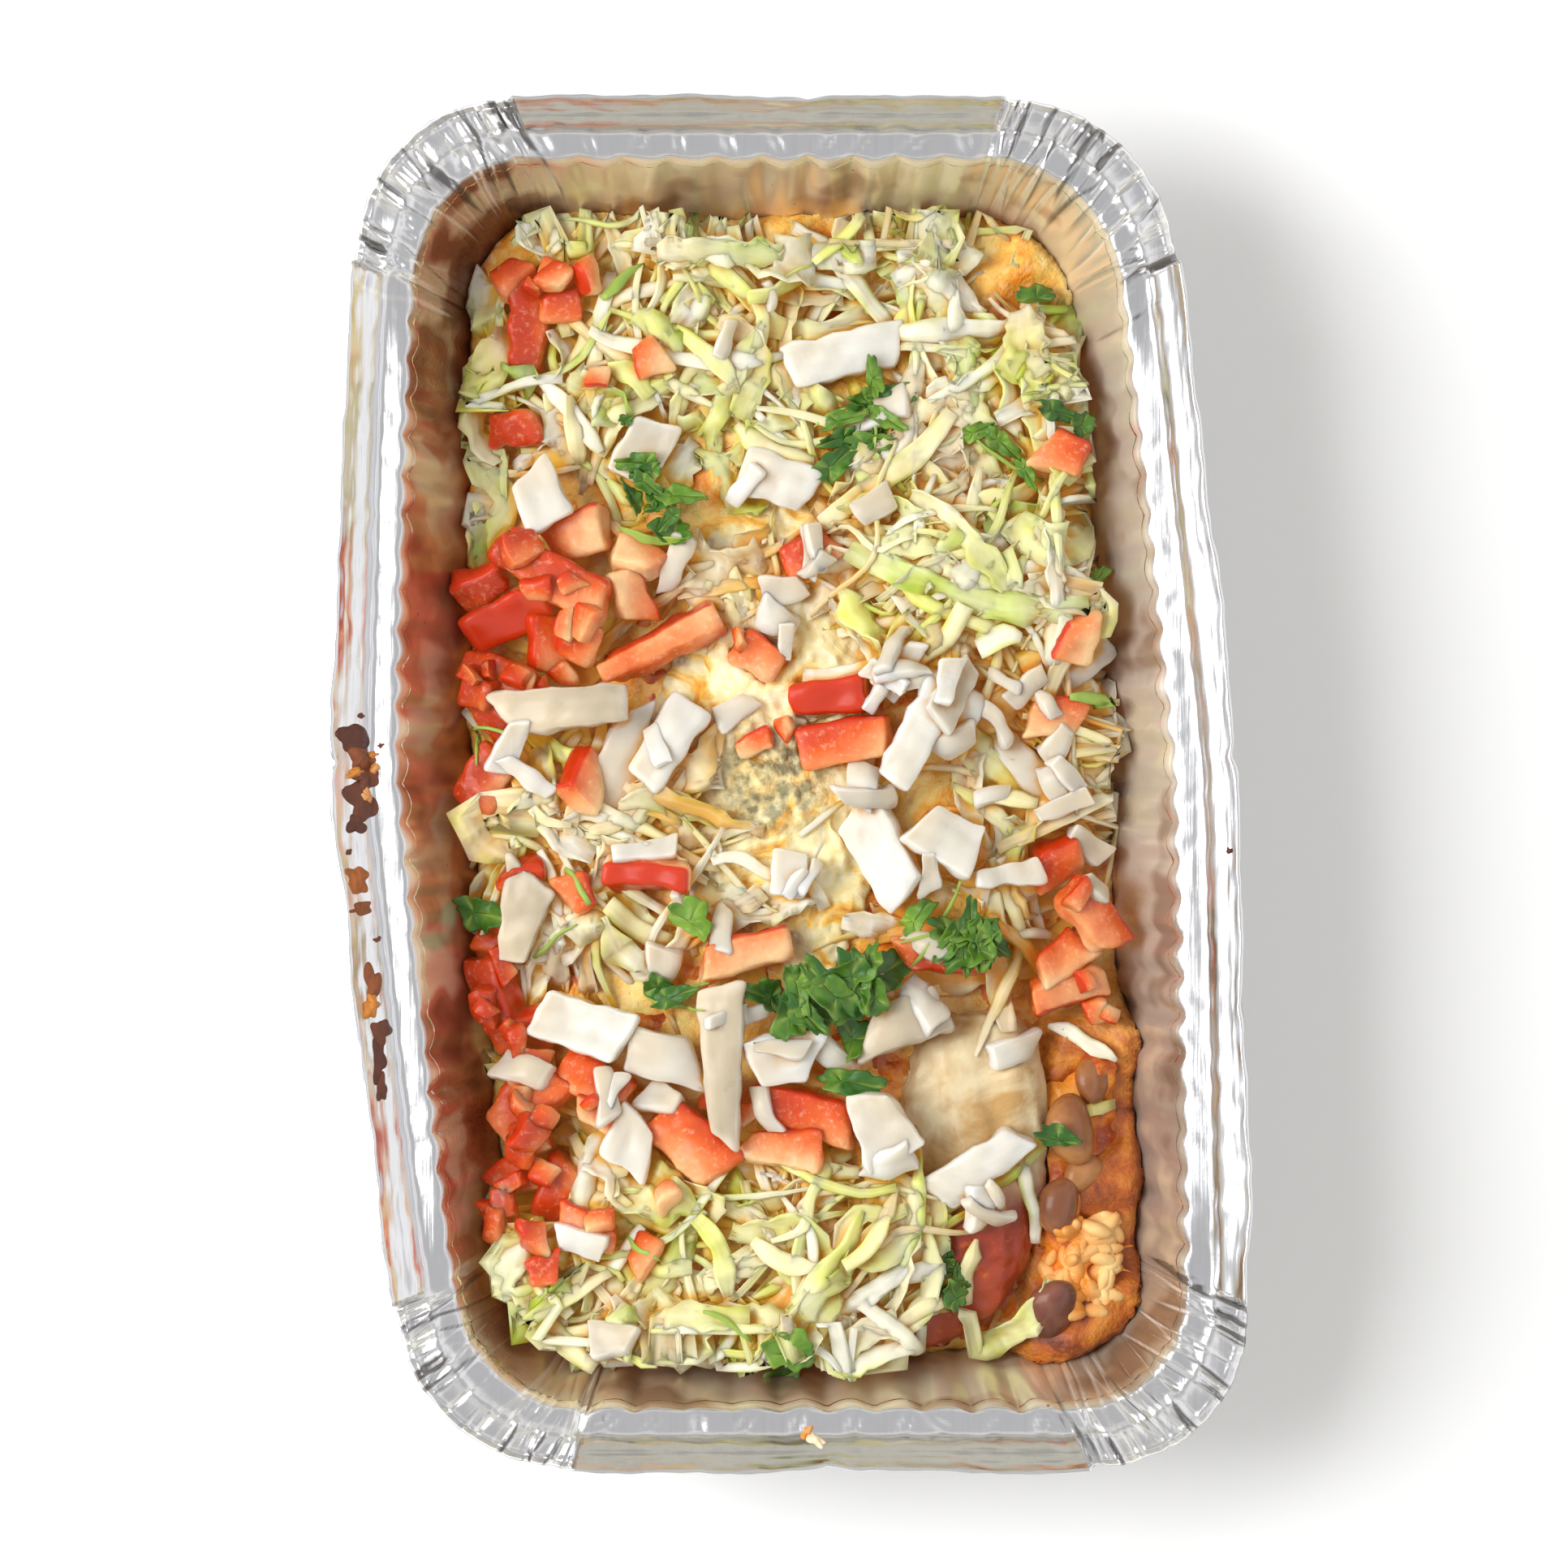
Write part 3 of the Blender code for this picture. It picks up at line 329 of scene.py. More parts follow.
def pushed_back(x, y, height):
    straight = x - LEAN * y - LEAN_SHIFT_X
    bow = np.where(straight < 0, BOW_LEFT, BOW_RIGHT)
    return straight / side_stretch(bow, y, height), y


def wall_inset(height):
    """How far the inner wall stands in from the rim at this height, in mm."""
    share = (WALL_HEAD_HEIGHT - height) / (WALL_HEAD_HEIGHT - WALL_FOOT_HEIGHT)
    return WALL_HEAD_INSET + share * (WALL_FOOT_INSET - WALL_HEAD_INSET)


def keep_inside(x, y, height, margin):
    """The nearest places to (x, y) that stay this far inside the wall at this height. All in mm."""
    inset = wall_inset(height) + margin
    sx, sy = pushed_back(x, y, height)
    radius = RIM_CORNER_RADIUS - CORNER_TIGHTENING * inset
    core_x = np.clip(sx, radius + inset - RIM_HALF_WIDTH, RIM_HALF_WIDTH - inset - radius)
    core_y = np.clip(sy, radius + inset - RIM_HALF_LENGTH, RIM_HALF_LENGTH - inset - radius)
    out_x, out_y = sx - core_x, sy - core_y
    reach = np.hypot(out_x, out_y)
    pull = np.minimum(1, radius / np.maximum(reach, 1e-6))
    return pushed_out_of_shape(core_x + out_x * pull, core_y + out_y * pull, height)


def inside_wall(points):
    """The same points, with those beyond the wall at their own height drawn back to it. All in mm."""
    x, y = keep_inside(*points.T, 0.2)
    return np.stack([x, y, points[:, 2]], axis=1)


class Rim:
    """The places round the tray, from the right side's near end anticlockwise, as arrays."""

    def __init__(self):
        parts, done = [], 0.0
        for q in range(4):
            side = 2 * (RIM_HALF_WIDTH if q % 2 else RIM_HALF_LENGTH) - 2 * RIM_CORNER_RADIUS
            flutes = round(side / (SHORT_FLUTE_PITCH if q % 2 else LONG_FLUTE_PITCH))
            along = np.arange(0, side, SIDE_SPACING)
            along[1], along[-1] = NOTCH, side - NOTCH
            lip = (along > 0.9 * NOTCH) & (along < side - 0.9 * NOTCH)
            each = np.ones(len(along))
            parts.append((q * each, 0 * each, along / side, lip, done + along, along / side * flutes))
            done += side
            bend = math.pi / 2 * RIM_CORNER_RADIUS
            along = np.arange(0, bend, CORNER_SPACING)
            each = np.ones(len(along))
            parts.append((q * each, each, along / bend, 0 * each, done + along, 0 * each))
            done += bend
        table = np.concatenate([np.array(part) for part in parts], axis=1)
        self.quarter, corner, self.share, self.lip, self.arc, self.phase = table
        self.corner = corner > 0
        self.length = done

    def place(self, inset, height):
        """Points of this ring in mm. Inset and height are arrays along the ring."""
        half_x, half_y = RIM_HALF_WIDTH - inset, RIM_HALF_LENGTH - inset
        radius = np.maximum(RIM_CORNER_RADIUS - CORNER_TIGHTENING * inset, 0.5)
        odd = self.quarter % 2 == 1
        angle = math.pi / 2 * (odd + self.share)
        centre_x = np.where(odd, radius - half_x, half_x - radius)
        corner_x = centre_x + radius * np.cos(angle)
        corner_y = half_y - radius + radius * np.sin(angle)
        side_x = np.where(odd, (half_x - radius) * (1 - 2 * self.share), half_x)
        side_y = np.where(odd, half_y, (half_y - radius) * (2 * self.share - 1))
        x = np.where(self.corner, corner_x, side_x)
        y = np.where(self.corner, corner_y, side_y)
        turn = np.where(self.quarter >= 2, -1.0, 1.0)
        x, y = pushed_out_of_shape(x * turn, y * turn, height)
        return np.stack([x, y, height], axis=1)


class Relief:
    """Heights of what lies in the tray, on a fine grid, in mm."""

    STEP = 0.5
    HALF_WIDTH = 64.0
    HALF_LENGTH = 104.0

    def __init__(self, floor, objects):
        self.columns = int(2 * self.HALF_WIDTH / self.STEP)
        self.rows = int(2 * self.HALF_LENGTH / self.STEP)
        self.height = np.full((self.columns, self.rows), float(floor))
        for obj in objects:
            self.raise_to(obj)

    def raise_to(self, obj):
        """Raises the heights to the top of this object wherever it stands higher."""
        points = np.array([obj.matrix_world @ v.co for v in obj.data.vertices]) / MM
        faces = [tuple(p.vertices) for p in obj.data.polygons]
        tree = BVHTree.FromPolygons(points.tolist(), faces)
        low, high = points.min(axis=0), points.max(axis=0)
        first_column, first_row = self.cells(low[0], low[1])
        last_column, last_row = self.cells(high[0], high[1])
        down = Vector((0, 0, -1))
        for i in range(first_column, last_column + 1):
            x = (i + 0.5) * self.STEP - self.HALF_WIDTH
            for j in range(first_row, last_row + 1):
                y = (j + 0.5) * self.STEP - self.HALF_LENGTH
                hit = tree.ray_cast(Vector((x, y, 100.0)), down)[0]
                if hit and hit.z > self.height[i, j]:
                    self.height[i, j] = hit.z

    def cells(self, x, y):
        i = ((np.asarray(x) + self.HALF_WIDTH) / self.STEP).astype(int)
        j = ((np.asarray(y) + self.HALF_LENGTH) / self.STEP).astype(int)
        return np.clip(i, 0, self.columns - 1), np.clip(j, 0, self.rows - 1)

    def at(self, x, y):
        return self.height[self.cells(x, y)]

    def fill(self, x, y, height):
        np.maximum.at(self.height, self.cells(x, y), height)

    def soften(self, times):
        for _ in range(times):
            padded = np.pad(self.height, 1, mode="edge")
            around = padded[:-2, 1:-1] + padded[2:, 1:-1] + padded[1:-1, :-2] + padded[1:-1, 2:]
            self.height = 0.5 * self.height + 0.125 * around

    def bed_for(self, x, y, half_length, half_width, turn):
        """How a flat thing comes to rest at (x, y): its middle's height, and its axes in rows."""
        u, v = np.meshgrid(np.linspace(-1, 1, 7), np.linspace(-1, 1, 5))
        c, s = math.cos(turn), math.sin(turn)
        u, v = u.ravel() * half_length, v.ravel() * half_width
        ground = self.at(x + u * c - v * s, y + u * s + v * c)
        matrix = np.stack([u, v, np.ones_like(u)], axis=1)
        slope_u, slope_v, level = np.linalg.lstsq(matrix, ground, rcond=None)[0]
        slope_u, slope_v = np.clip([slope_u, slope_v], -0.45, 0.45)
        along = np.array([c, s, slope_u])
        across = np.array([-s, c, slope_v])
        along /= np.linalg.norm(along)
        up = np.cross(along, across)
        up /= np.linalg.norm(up)
        return 0.5 * level + 0.5 * ground.max(), np.stack([along, np.cross(up, along), up])


class Wire:
    """A value on its way through a material's nodes. Sums on it add Math nodes."""

    def __init__(self, finish, socket):
        self.finish = finish
        self.socket = socket

    def combined(self, operation, first, second):
        return self.finish.add("ShaderNodeMath", {"operation": operation}, {0: first, 1: second})

    def __add__(self, other):
        return self.combined("ADD", self, other)

    def __radd__(self, other):
        return self.combined("ADD", other, self)

    def __sub__(self, other):
        return self.combined("SUBTRACT", self, other)

    def __rsub__(self, other):
        return self.combined("SUBTRACT", other, self)

    def __mul__(self, other):
        return self.combined("MULTIPLY", self, other)

    def __rmul__(self, other):
        return self.combined("MULTIPLY", other, self)

    def __truediv__(self, other):
        return self.combined("DIVIDE", self, other)

    def __pow__(self, other):
        return self.combined("POWER", self, other)

    def least(self, other):
        return self.combined("MINIMUM", self, other)

    def most(self, other):
        return self.combined("MAXIMUM", self, other)

    def away(self):
        return self.combined("ABSOLUTE", self, 0.0)

    def sine(self):
        return self.combined("SINE", self, 0.0)


class Finish:
    """A material being wired up, with its Principled shader."""

    def __init__(self, name, kind="materials", shader="Principled BSDF", **constants):
        self.material = getattr(bpy.data, kind).new(name)
        self.material.use_nodes = True
        self.nodes = self.material.node_tree.nodes
        self.links = self.material.node_tree.links
        self.shader = self.nodes[shader]
        for socket, value in constants.items():
            self.shader.inputs[socket.replace("_", " ").title()].default_value = value

    def add(self, kind, settings=None, inputs=None, output=0):
        """Adds a node: its settings first, a ramp's stops among them, then its sockets' values or links."""
        node = self.nodes.new(kind)
        for name, value in (settings or {}).items():
            if name == "stops":
                while len(node.color_ramp.elements) < len(value):
                    node.color_ramp.elements.new(0.5)
                for element, (position, colour) in zip(node.color_ramp.elements, value):
                    element.position = position
                    element.color = (*colour, 1.0)
            else:
                setattr(node, name, value)
        for name, value in (inputs or {}).items():
            self.put(value, node.inputs[name])
        return Wire(self, node.outputs[output])

    def put(self, value, socket):
        if isinstance(value, Wire):
            self.links.new(value.socket, socket)
        elif socket.type == "RGBA" and len(value) == 3:
            socket.default_value = (*value, 1.0)
        else:
            socket.default_value = value

    def set(self, name, value):
        self.put(value, self.shader.inputs[name])

    def place(self):
        return self.add("ShaderNodeTexCoord", output="Object")

    def stretched(self, scale):
        return self.add("ShaderNodeMapping", inputs={"Vector": self.place(), "Scale": scale})

    def noise(self, scale, detail=3.0, roughness=0.5, vector=None, distortion=0.0):
        inputs = {"Scale": scale, "Detail": detail, "Roughness": roughness, "Distortion": distortion}
        inputs["Vector"] = vector or self.place()
        return self.add("ShaderNodeTexNoise", inputs=inputs)

    def cells(self, scale, feature="F1", vector=None):
        inputs = {"Scale": scale, "Vector": vector or self.place()}
        return self.add("ShaderNodeTexVoronoi", {"feature": feature}, inputs)

    def mask(self, value, low, high):
        """0 below low, 1 above high."""
        inputs = {"Value": value, "From Min": low, "From Max": high}
        return self.add("ShaderNodeMapRange", {"clamp": True}, inputs)

    def soaked_and_shaded(self, colour, sauce, most):
        """The colour tinted by the sauce and darkened by painted shade where a piece lies deep in the food,
        with a faint painted glow there.
        """
        # wet marks where a piece lies deep under the food's top: the colour takes the sauce and painted shade
        # there, and a faint painted glow lights it.
        wet = self.mask(self.attribute("deep") + 0.5 * (self.noise(90.0) - 0.5), 0.04, 0.62)
        self.shader.inputs["Emission Strength"].default_value = 0.07
        self.set("Emission Color", self.mix(wet, (0.0, 0.0, 0.0), seen(228, 150, 66)))
        return self.mix(most * wet, colour, sauce, "MULTIPLY")

    def mix(self, share, first, second, blend="MIX"):
        settings = {"data_type": "RGBA", "blend_type": blend}
        return self.add("ShaderNodeMix", settings, {0: share, 6: first, 7: second}, output=2)

    def ramp(self, value, *stops):
        return self.add("ShaderNodeValToRGB", {"stops": stops}, {"Fac": value})

    def attribute(self, name, output="Fac"):
        return self.add("ShaderNodeAttribute", {"attribute_name": name}, output=output)

    def split(self, vector):
        parted = self.add("ShaderNodeSeparateXYZ", inputs={0: vector})
        return [Wire(self, output) for output in parted.socket.node.outputs]

    def bump(self, height, distance, strength=1.0):
        inputs = {"Height": height, "Distance": distance, "Strength": strength}
        self.set("Normal", self.add("ShaderNodeBump", inputs=inputs))


def mesh_piece(name, points, faces, finish, smooth=True):
    """A piece from an array of points in mm."""
    mesh = bpy.data.meshes.new(name)
    mesh.from_pydata((np.asarray(points) * MM).tolist(), [], faces)
    mesh.polygons.foreach_set("use_smooth", [smooth] * len(mesh.polygons))
    if finish:
        mesh.materials.append(finish)
    obj = bpy.data.objects.new(name, mesh)
    bpy.context.scene.collection.objects.link(obj)
    return obj


def with_attribute(obj, name, values):
    """Puts one number, or one colour, for each point on a piece."""
    values = np.asarray(values, dtype=np.float32)
    if values.ndim == 2:
        layer = obj.data.attributes.new(name, "FLOAT_COLOR", "POINT")
        full = np.concatenate([values, np.ones((len(values), 1), np.float32)], axis=1)
        layer.data.foreach_set("color", full.ravel())
    else:
        layer = obj.data.attributes.new(name, "FLOAT", "POINT")
        layer.data.foreach_set("value", values.ravel())


def settle(obj, slot, *nodes):
    """Puts a finished piece on the body, in its slot, in place of these nodes."""
    if slot != "foil":
        obj["meal_food"] = slot
    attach(obj, BODY)
    if nodes:
        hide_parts(*nodes)


def ring_faces(rings, count):
    """Quads between closed rings of count points."""
    faces = []
    for low in range(0, (rings - 1) * count, count):
        for i in range(count):
            j = (i + 1) % count
            faces.append((low + i, low + j, low + count + j, low + count + i))
    return faces


def shell_faces(rings, count):
    """Faces of two skins of rings, one under the other, joined round their first rings."""
    skin = ring_faces(rings, count)
    under = rings * count
    faces = skin + [tuple(under + i for i in f[::-1]) for f in skin]
    for i in range(count):
        j = (i + 1) % count
        faces.append((i, under + i, under + j, j))
    return faces


def foil_rings():
    """All the rings of the tray's skin, with the walls filled in between their head and foot."""
    rows = list(FLOOR_RINGS)
    for k in range(WALL_STEPS + 1):
        height = WALL_FOOT_HEIGHT + (WALL_HEAD_HEIGHT - WALL_FOOT_HEIGHT) * k / WALL_STEPS
        crease = smooth_step(10, 38, height)
        flute = 0.35 + 0.65 * smooth_step(18, 38, height)
        rows.append((wall_inset(height), height, wall_inset(height), height, flute, crease, 0.0))
    for inset, rise, corner_inset, corner_rise, *shares in SHOULDER_RINGS:
        rows.append((inset, SHOULDER_HEIGHT + rise, corner_inset, SHOULDER_HEIGHT + corner_rise, *shares))
    for k in range(UNDER_WALL_STEPS + 1):
        height = WALL_HEAD_HEIGHT - 1 - (WALL_HEAD_HEIGHT - WALL_FOOT_HEIGHT) * k / UNDER_WALL_STEPS
        inset = wall_inset(height) - FOIL_OUTWARD
        flute = 0.35 + 0.65 * smooth_step(18, 38, height)
        rows.append((inset, height, inset, height, flute, smooth_step(10, 38, height), 0.0))
    return rows + list(UNDER_RINGS)


def corner_creases(rim, seed, each, reaches, widths):
    """Folds at the corners: where each starts, its lean, width, depth and length."""
    dice = np.random.default_rng(seed)
    creases = []
    for q in range(4):
        arcs = rim.arc[(rim.quarter == q) & rim.corner]
        bends = [dice.uniform(arcs[0] - 1, arcs[-1] + 1) for _ in range(each)]
        bends += [arcs[end] + dice.normal(0, 2.2) for end in (0, -1) for _ in range(each // 4)]
        for arc in bends:
            lean, width = dice.normal(0, 0.22), dice.uniform(*widths)
            depth = dice.uniform(0.16, 0.6) * dice.choice((-1, 1))
            creases.append((arc, lean, width, depth, dice.uniform(*reaches)))
    return creases


def crease_depth(rim, creases, inset):
    depth = np.zeros(len(rim.arc))
    for arc, lean, width, deep, reach in creases:
        off = rim.arc - arc - lean * inset - 0.5 * np.sin(0.45 * inset + 9 * lean)
        off = (off + rim.length / 2) % rim.length - rim.length / 2
        fade = 1 - smooth_step(0.6 * reach, reach, inset)
        depth += deep * fade * np.exp(-np.abs(off) / width)
    return depth


def foil_skin(props):
    """Points of the crinkled tray, how deep each is folded and how much haze it has, ring by ring, in mm."""
    rim = Rim()
    creases = corner_creases(rim, 3, props.creases, (11, 26), (0.22, 0.7))
    pleats = corner_creases(rim, 4, props.pleats, (6.5, 9.5), (0.25, 0.55))
    dice = np.random.default_rng(8)
    line = np.stack([rim.arc, 0 * rim.arc, 0 * rim.arc], 1)
    scallop = (np.abs(np.sin(math.pi * rim.phase)) - 0.6) * (1 + 0.35 * ripples(line, 30, 5))
    scallop[rim.corner] = 0.1 * ripples(line, 9, 6)[rim.corner]
    spots = np.arange(0, rim.length, SHORT_FLUTE_PITCH)
    dents = [(spot + dice.normal(0, 0.8), dice.normal(0.5, 0.6), dice.uniform(0.4, 1.1)) for spot in spots]
    outer = rim.place(np.zeros(len(rim.arc)), np.full(len(rim.arc), SHOULDER_HEIGHT))
    side = np.where(rim.quarter == 0, SHELF_TIP_RIGHT, np.where(rim.quarter == 2, SHELF_TIP_LEFT, 0.0))
    tip = np.where(rim.corner, 0.0, side) * smooth_step(0, 0.12, np.minimum(rim.share, 1 - rim.share))
    kink = np.zeros(len(rim.arc))
    for x, y in LIP_KINKS:
        kink = np.maximum(kink, np.exp(-np.hypot(outer[:, 0] - x, outer[:, 1] - y) / 1.6))
    rings, folds, hazes = [], [], []
    on_end = np.where(rim.quarter % 2 == 1, 1.0, 0.3)
    for index, row in enumerate(foil_rings()):
        side_inset, side_height, corner_inset, corner_height, flute, crease, pleated = row
        inset = rim.lip * side_inset + (1 - rim.lip) * corner_inset
        height = rim.lip * side_height + (1 - rim.lip) * corner_height
        place = np.stack([rim.arc, 2.0 * inset, height], axis=1)
        inset = inset + props.flute_depth / MM * flute * scallop
        fold = crease_depth(rim, creases, inset) * crease
        on_top = smooth_step(WALL_HEAD_HEIGHT - 1, SHOULDER_HEIGHT, height)
        inset = inset + fold * (1 - 0.75 * on_top)
        height = height + fold * on_top * 0.4
        pleat = pleated * crease_depth(rim, pleats, inset) * (1 - rim.lip)
        height = height + props.pleat_height / MM * pleat
        folds.append(fold + pleat)
        hazes.append(np.full(len(fold), 1.0 if index < HAZY_RINGS else 0.0))
        shelf = np.exp(-(((inset - 7.2) / 1.6) ** 2)) * on_top
        for arc, lean, width in dents:
            off = np.abs(rim.arc - arc - lean * (inset - 7.2))
            height = height - 0.55 * on_end * shelf * np.exp(-((off / width) ** 2))
        height = height + tip * on_top * (9.6 - np.minimum(inset, 9.6)) / 4.4 * np.clip(inset / 5.2, 0, 1)
        lip = smooth_step(SHOULDER_HEIGHT + 0.5, LIP_HEIGHT, height)
        inset = inset + lip * (0.35 * ripples(place, 28, 11) + 0.7 * kink)
        height = height - 0.5 * kink * lip
        inset = inset + 0.10 * ripples(place, 5, 12) * smooth_step(6, 12, height)
        rings.append(rim.place(inset, np.maximum(height, 0.0) if side_height < 3 else height))
    return rings, folds, hazes


def foil_finish(props):
    """Bright rolled foil, drawn along its edges. Its damp walls, rougher and less metallic, carry painted
    reflections of the food and painted shade; its folds carry painted shade and painted highlights.
    """
    finish = Finish("foil", metallic=1.0)
    x, y = finish.split(finish.place())[:2]
    clean = props.foil_colour
    brush = finish.noise(1100.0, 3.0, 0.6, finish.stretched((1.0, 0.05, 1.0)))
    drawn_long = finish.noise(420.0, 3.0, 0.55, finish.stretched((1.0, 0.05, 1.0)))
    drawn_short = finish.noise(420.0, 3.0, 0.55, finish.stretched((0.05, 1.0, 1.0)))
    on_long = finish.mask(x.away(), 0.052, 0.058)
    drawn = drawn_long * on_long + drawn_short * (1.0 - on_long)
    cloud = finish.noise(70.0, 4.0, 0.6)
    wall = finish.attribute("haze")
    grey = finish.mix(cloud, clean, tuple(0.88 * c for c in clean))
    grey = finish.mix(0.3 * finish.mask(brush, 0.5, 0.8), grey, tuple(0.74 * c for c in clean))
    patch = finish.noise(72.0, 2.0, 0.5)
    # Painted reflections of the food on the walls: warm at the left, pale at the right and at the ends, redder
    # and darker low on the side walls, with lighter and darker patches; dark painted shade at the far end of
    # the left wall.
    far_left_shade = finish.mask(x, -0.034, -0.046) * finish.mask(y, 0.050, 0.078)
    wall_reflection_paint = finish.mix(finish.mask(x, 0.030, -0.044), props.right_wall_reflection, props.left_wall_reflection)
    wall_reflection_paint = finish.mix(0.65 * finish.mask(y.away(), 0.070, 0.088), wall_reflection_paint, props.end_wall_reflection)
    wall_reflection_paint = finish.mix(0.9 * far_left_shade, wall_reflection_paint, seen(124, 74, 48))
    low = finish.mask(x.away(), 0.040, 0.050) * finish.mask(y, -0.015, -0.050)
    low_side_reflection_shade = finish.mix(finish.mask(x, -0.03, 0.03), seen(160, 84, 62), seen(142, 116, 98))
    wall_reflection_paint = finish.mix(0.5 * low, wall_reflection_paint, low_side_reflection_shade)
    wall_reflection_paint = finish.mix(0.7 * finish.mask(patch, 0.52, 0.62), wall_reflection_paint, seen(238, 226, 196))
    wall_reflection_paint = finish.mix(finish.mask(patch, 0.47, 0.36), wall_reflection_paint, (0.62, 0.52, 0.46), "MULTIPLY")
    grey = finish.mix(wall, grey, wall_reflection_paint)
    # Painted shade darkens the creases and painted highlights lighten the ridges of the folds.
    fold = finish.attribute("fold")
    grey = finish.mix(0.75 * finish.mask(fold, 0.16, 0.42), grey, seen(74, 64, 56))
    grey = finish.mix(0.75 * finish.mask(fold, -0.14, -0.36), grey, seen(255, 252, 246))
    speck = finish.mask(finish.cells(260.0), 0.085, 0.05) * finish.mask(finish.noise(38.0), 0.55, 0.64)
    dirt = speck * wall
    finish.set("Base Color", finish.mix(dirt, grey, seen(96, 66, 44)))
    finish.set("Metallic", 1.0 - 0.45 * wall - 0.4 * dirt)
    finish.set("Roughness", props.foil_roughness + 0.06 * brush + 0.10 * wall + 0.2 * dirt)
    left = finish.mask(x, -0.038, -0.048)
    low = finish.mask(y, -0.040, -0.052) + finish.mask(y, 0.055, 0.066)
    right = finish.mask(x, 0.046, 0.052) * finish.mask(finish.noise(30.0), 0.45, 0.6)
    wet = (left * low + 0.6 * right).least(1.0) * wall
    drop = finish.mask(finish.cells(1050.0), 0.45, 0.10) * wet
    crinkle = 0.2 * finish.noise(420.0, 3.0, 0.6) + 0.1 * brush + 1.0 * drawn
    dent = 0.7 * finish.noise(110.0, 2.0, 0.5)
    finish.bump(crinkle * (1.0 - wall) + dent * (1.0 - 0.7 * wall) + 0.5 * drop, 0.00014)
    return finish.material


def build_tray(props):
    rings, folds, hazes = foil_skin(props)
    count = len(rings[0])
    points = np.concatenate(rings)
    faces = ring_faces(len(rings), count)
    middle_top, middle_under = len(points), len(points) + 1
    centres = np.array([rings[0].mean(axis=0), rings[-1].mean(axis=0)])
    last = (len(rings) - 1) * count
    for i in range(count):
        j = (i + 1) % count
        faces.append((j, i, middle_top))
        faces.append((last + i, last + j, middle_under))
    tray = mesh_piece("foil_tray_skin", np.concatenate([points, centres]), faces, foil_finish(props))
    with_attribute(tray, "fold", np.concatenate([*folds, [0, 0]]))
    with_attribute(tray, "haze", np.concatenate([*hazes, [0, 0]]))
    tidy_skin(tray, merge=False)
    settle(tray, "foil", "foil_tray")


class Heap:
    """Parts gathered into one mesh, with numbers for the material at each of their points."""

    def __init__(self, in_tray=True):
        self.points, self.faces, self.numbers = [], [], {}
        self.count = 0
        self.in_tray = in_tray

    def gather(self, points, faces, **numbers):
        self.points.append(inside_wall(points) if self.in_tray else points)
        self.faces += [tuple(self.count + i for i in f) for f in faces]
        self.count += len(points)
        for name, values in numbers.items():
            values = values if np.ndim(values) else np.full(len(points), values)
            self.numbers.setdefault(name, []).append(values)

    def piece(self, name, material, tidy=False):
        obj = mesh_piece(name, np.concatenate(self.points), self.faces, material)
        for label, values in self.numbers.items():
            with_attribute(obj, label, np.concatenate(values))
        if tidy:
            tidy_skin(obj)
        return obj


def tidy_skin(obj, merge=True):
    """Faces the skin outwards, its coinciding points merged or not."""
    shape = bmesh.new()
    shape.from_mesh(obj.data)
    if merge:
        bmesh.ops.remove_doubles(shape, verts=shape.verts, dist=1e-6)
    bmesh.ops.recalc_face_normals(shape, faces=shape.faces)
    if shape.calc_volume(signed=True) < 0:
        bmesh.ops.reverse_faces(shape, faces=shape.faces)
    shape.to_mesh(obj.data)
    shape.free()


def copied(name, node, voxel, smoothings=2):
    """A copy of a CAD node as an even skin of small faces, ready for detail."""
    mesh = frame["nodes"][node].data.copy()
    shape = bmesh.new()
    shape.from_mesh(mesh)
    bmesh.ops.remove_doubles(shape, verts=shape.verts, dist=1e-6)
    shape.transform(frame["nodes"][node].matrix_world)
    shape.to_mesh(mesh)
    shape.free()
    obj = bpy.data.objects.new(name, mesh)
    bpy.context.scene.collection.objects.link(obj)
    remesh = obj.modifiers.new("even", "REMESH")
    remesh.mode = "VOXEL"
    remesh.voxel_size = voxel * MM
    remesh.use_smooth_shade = True
    smooth = obj.modifiers.new("soft", "SMOOTH")
    smooth.iterations = smoothings
    baked = bpy.data.meshes.new_from_object(obj.evaluated_get(bpy.context.evaluated_depsgraph_get()))
    obj.modifiers.clear()
    obj.data = baked
    baked.materials.clear()
    bpy.data.meshes.remove(mesh)
    return obj


def points_of(obj):
    """Points and normals of a piece's mesh, the points in mm."""
    count = len(obj.data.vertices)
    points, normals = np.empty(3 * count, np.float32), np.empty(3 * count, np.float32)
    obj.data.vertices.foreach_get("co", points)
    obj.data.vertex_normals.foreach_get("vector", normals)
    return points.reshape(-1, 3).astype(float) / MM, normals.reshape(-1, 3).astype(float)


def move_points(obj, points):
    """Moves a piece's points to these places in mm, as far as the wall lets them."""
    obj.data.vertices.foreach_set("co", (inside_wall(points) * MM).astype(np.float32).ravel())
    obj.data.update()


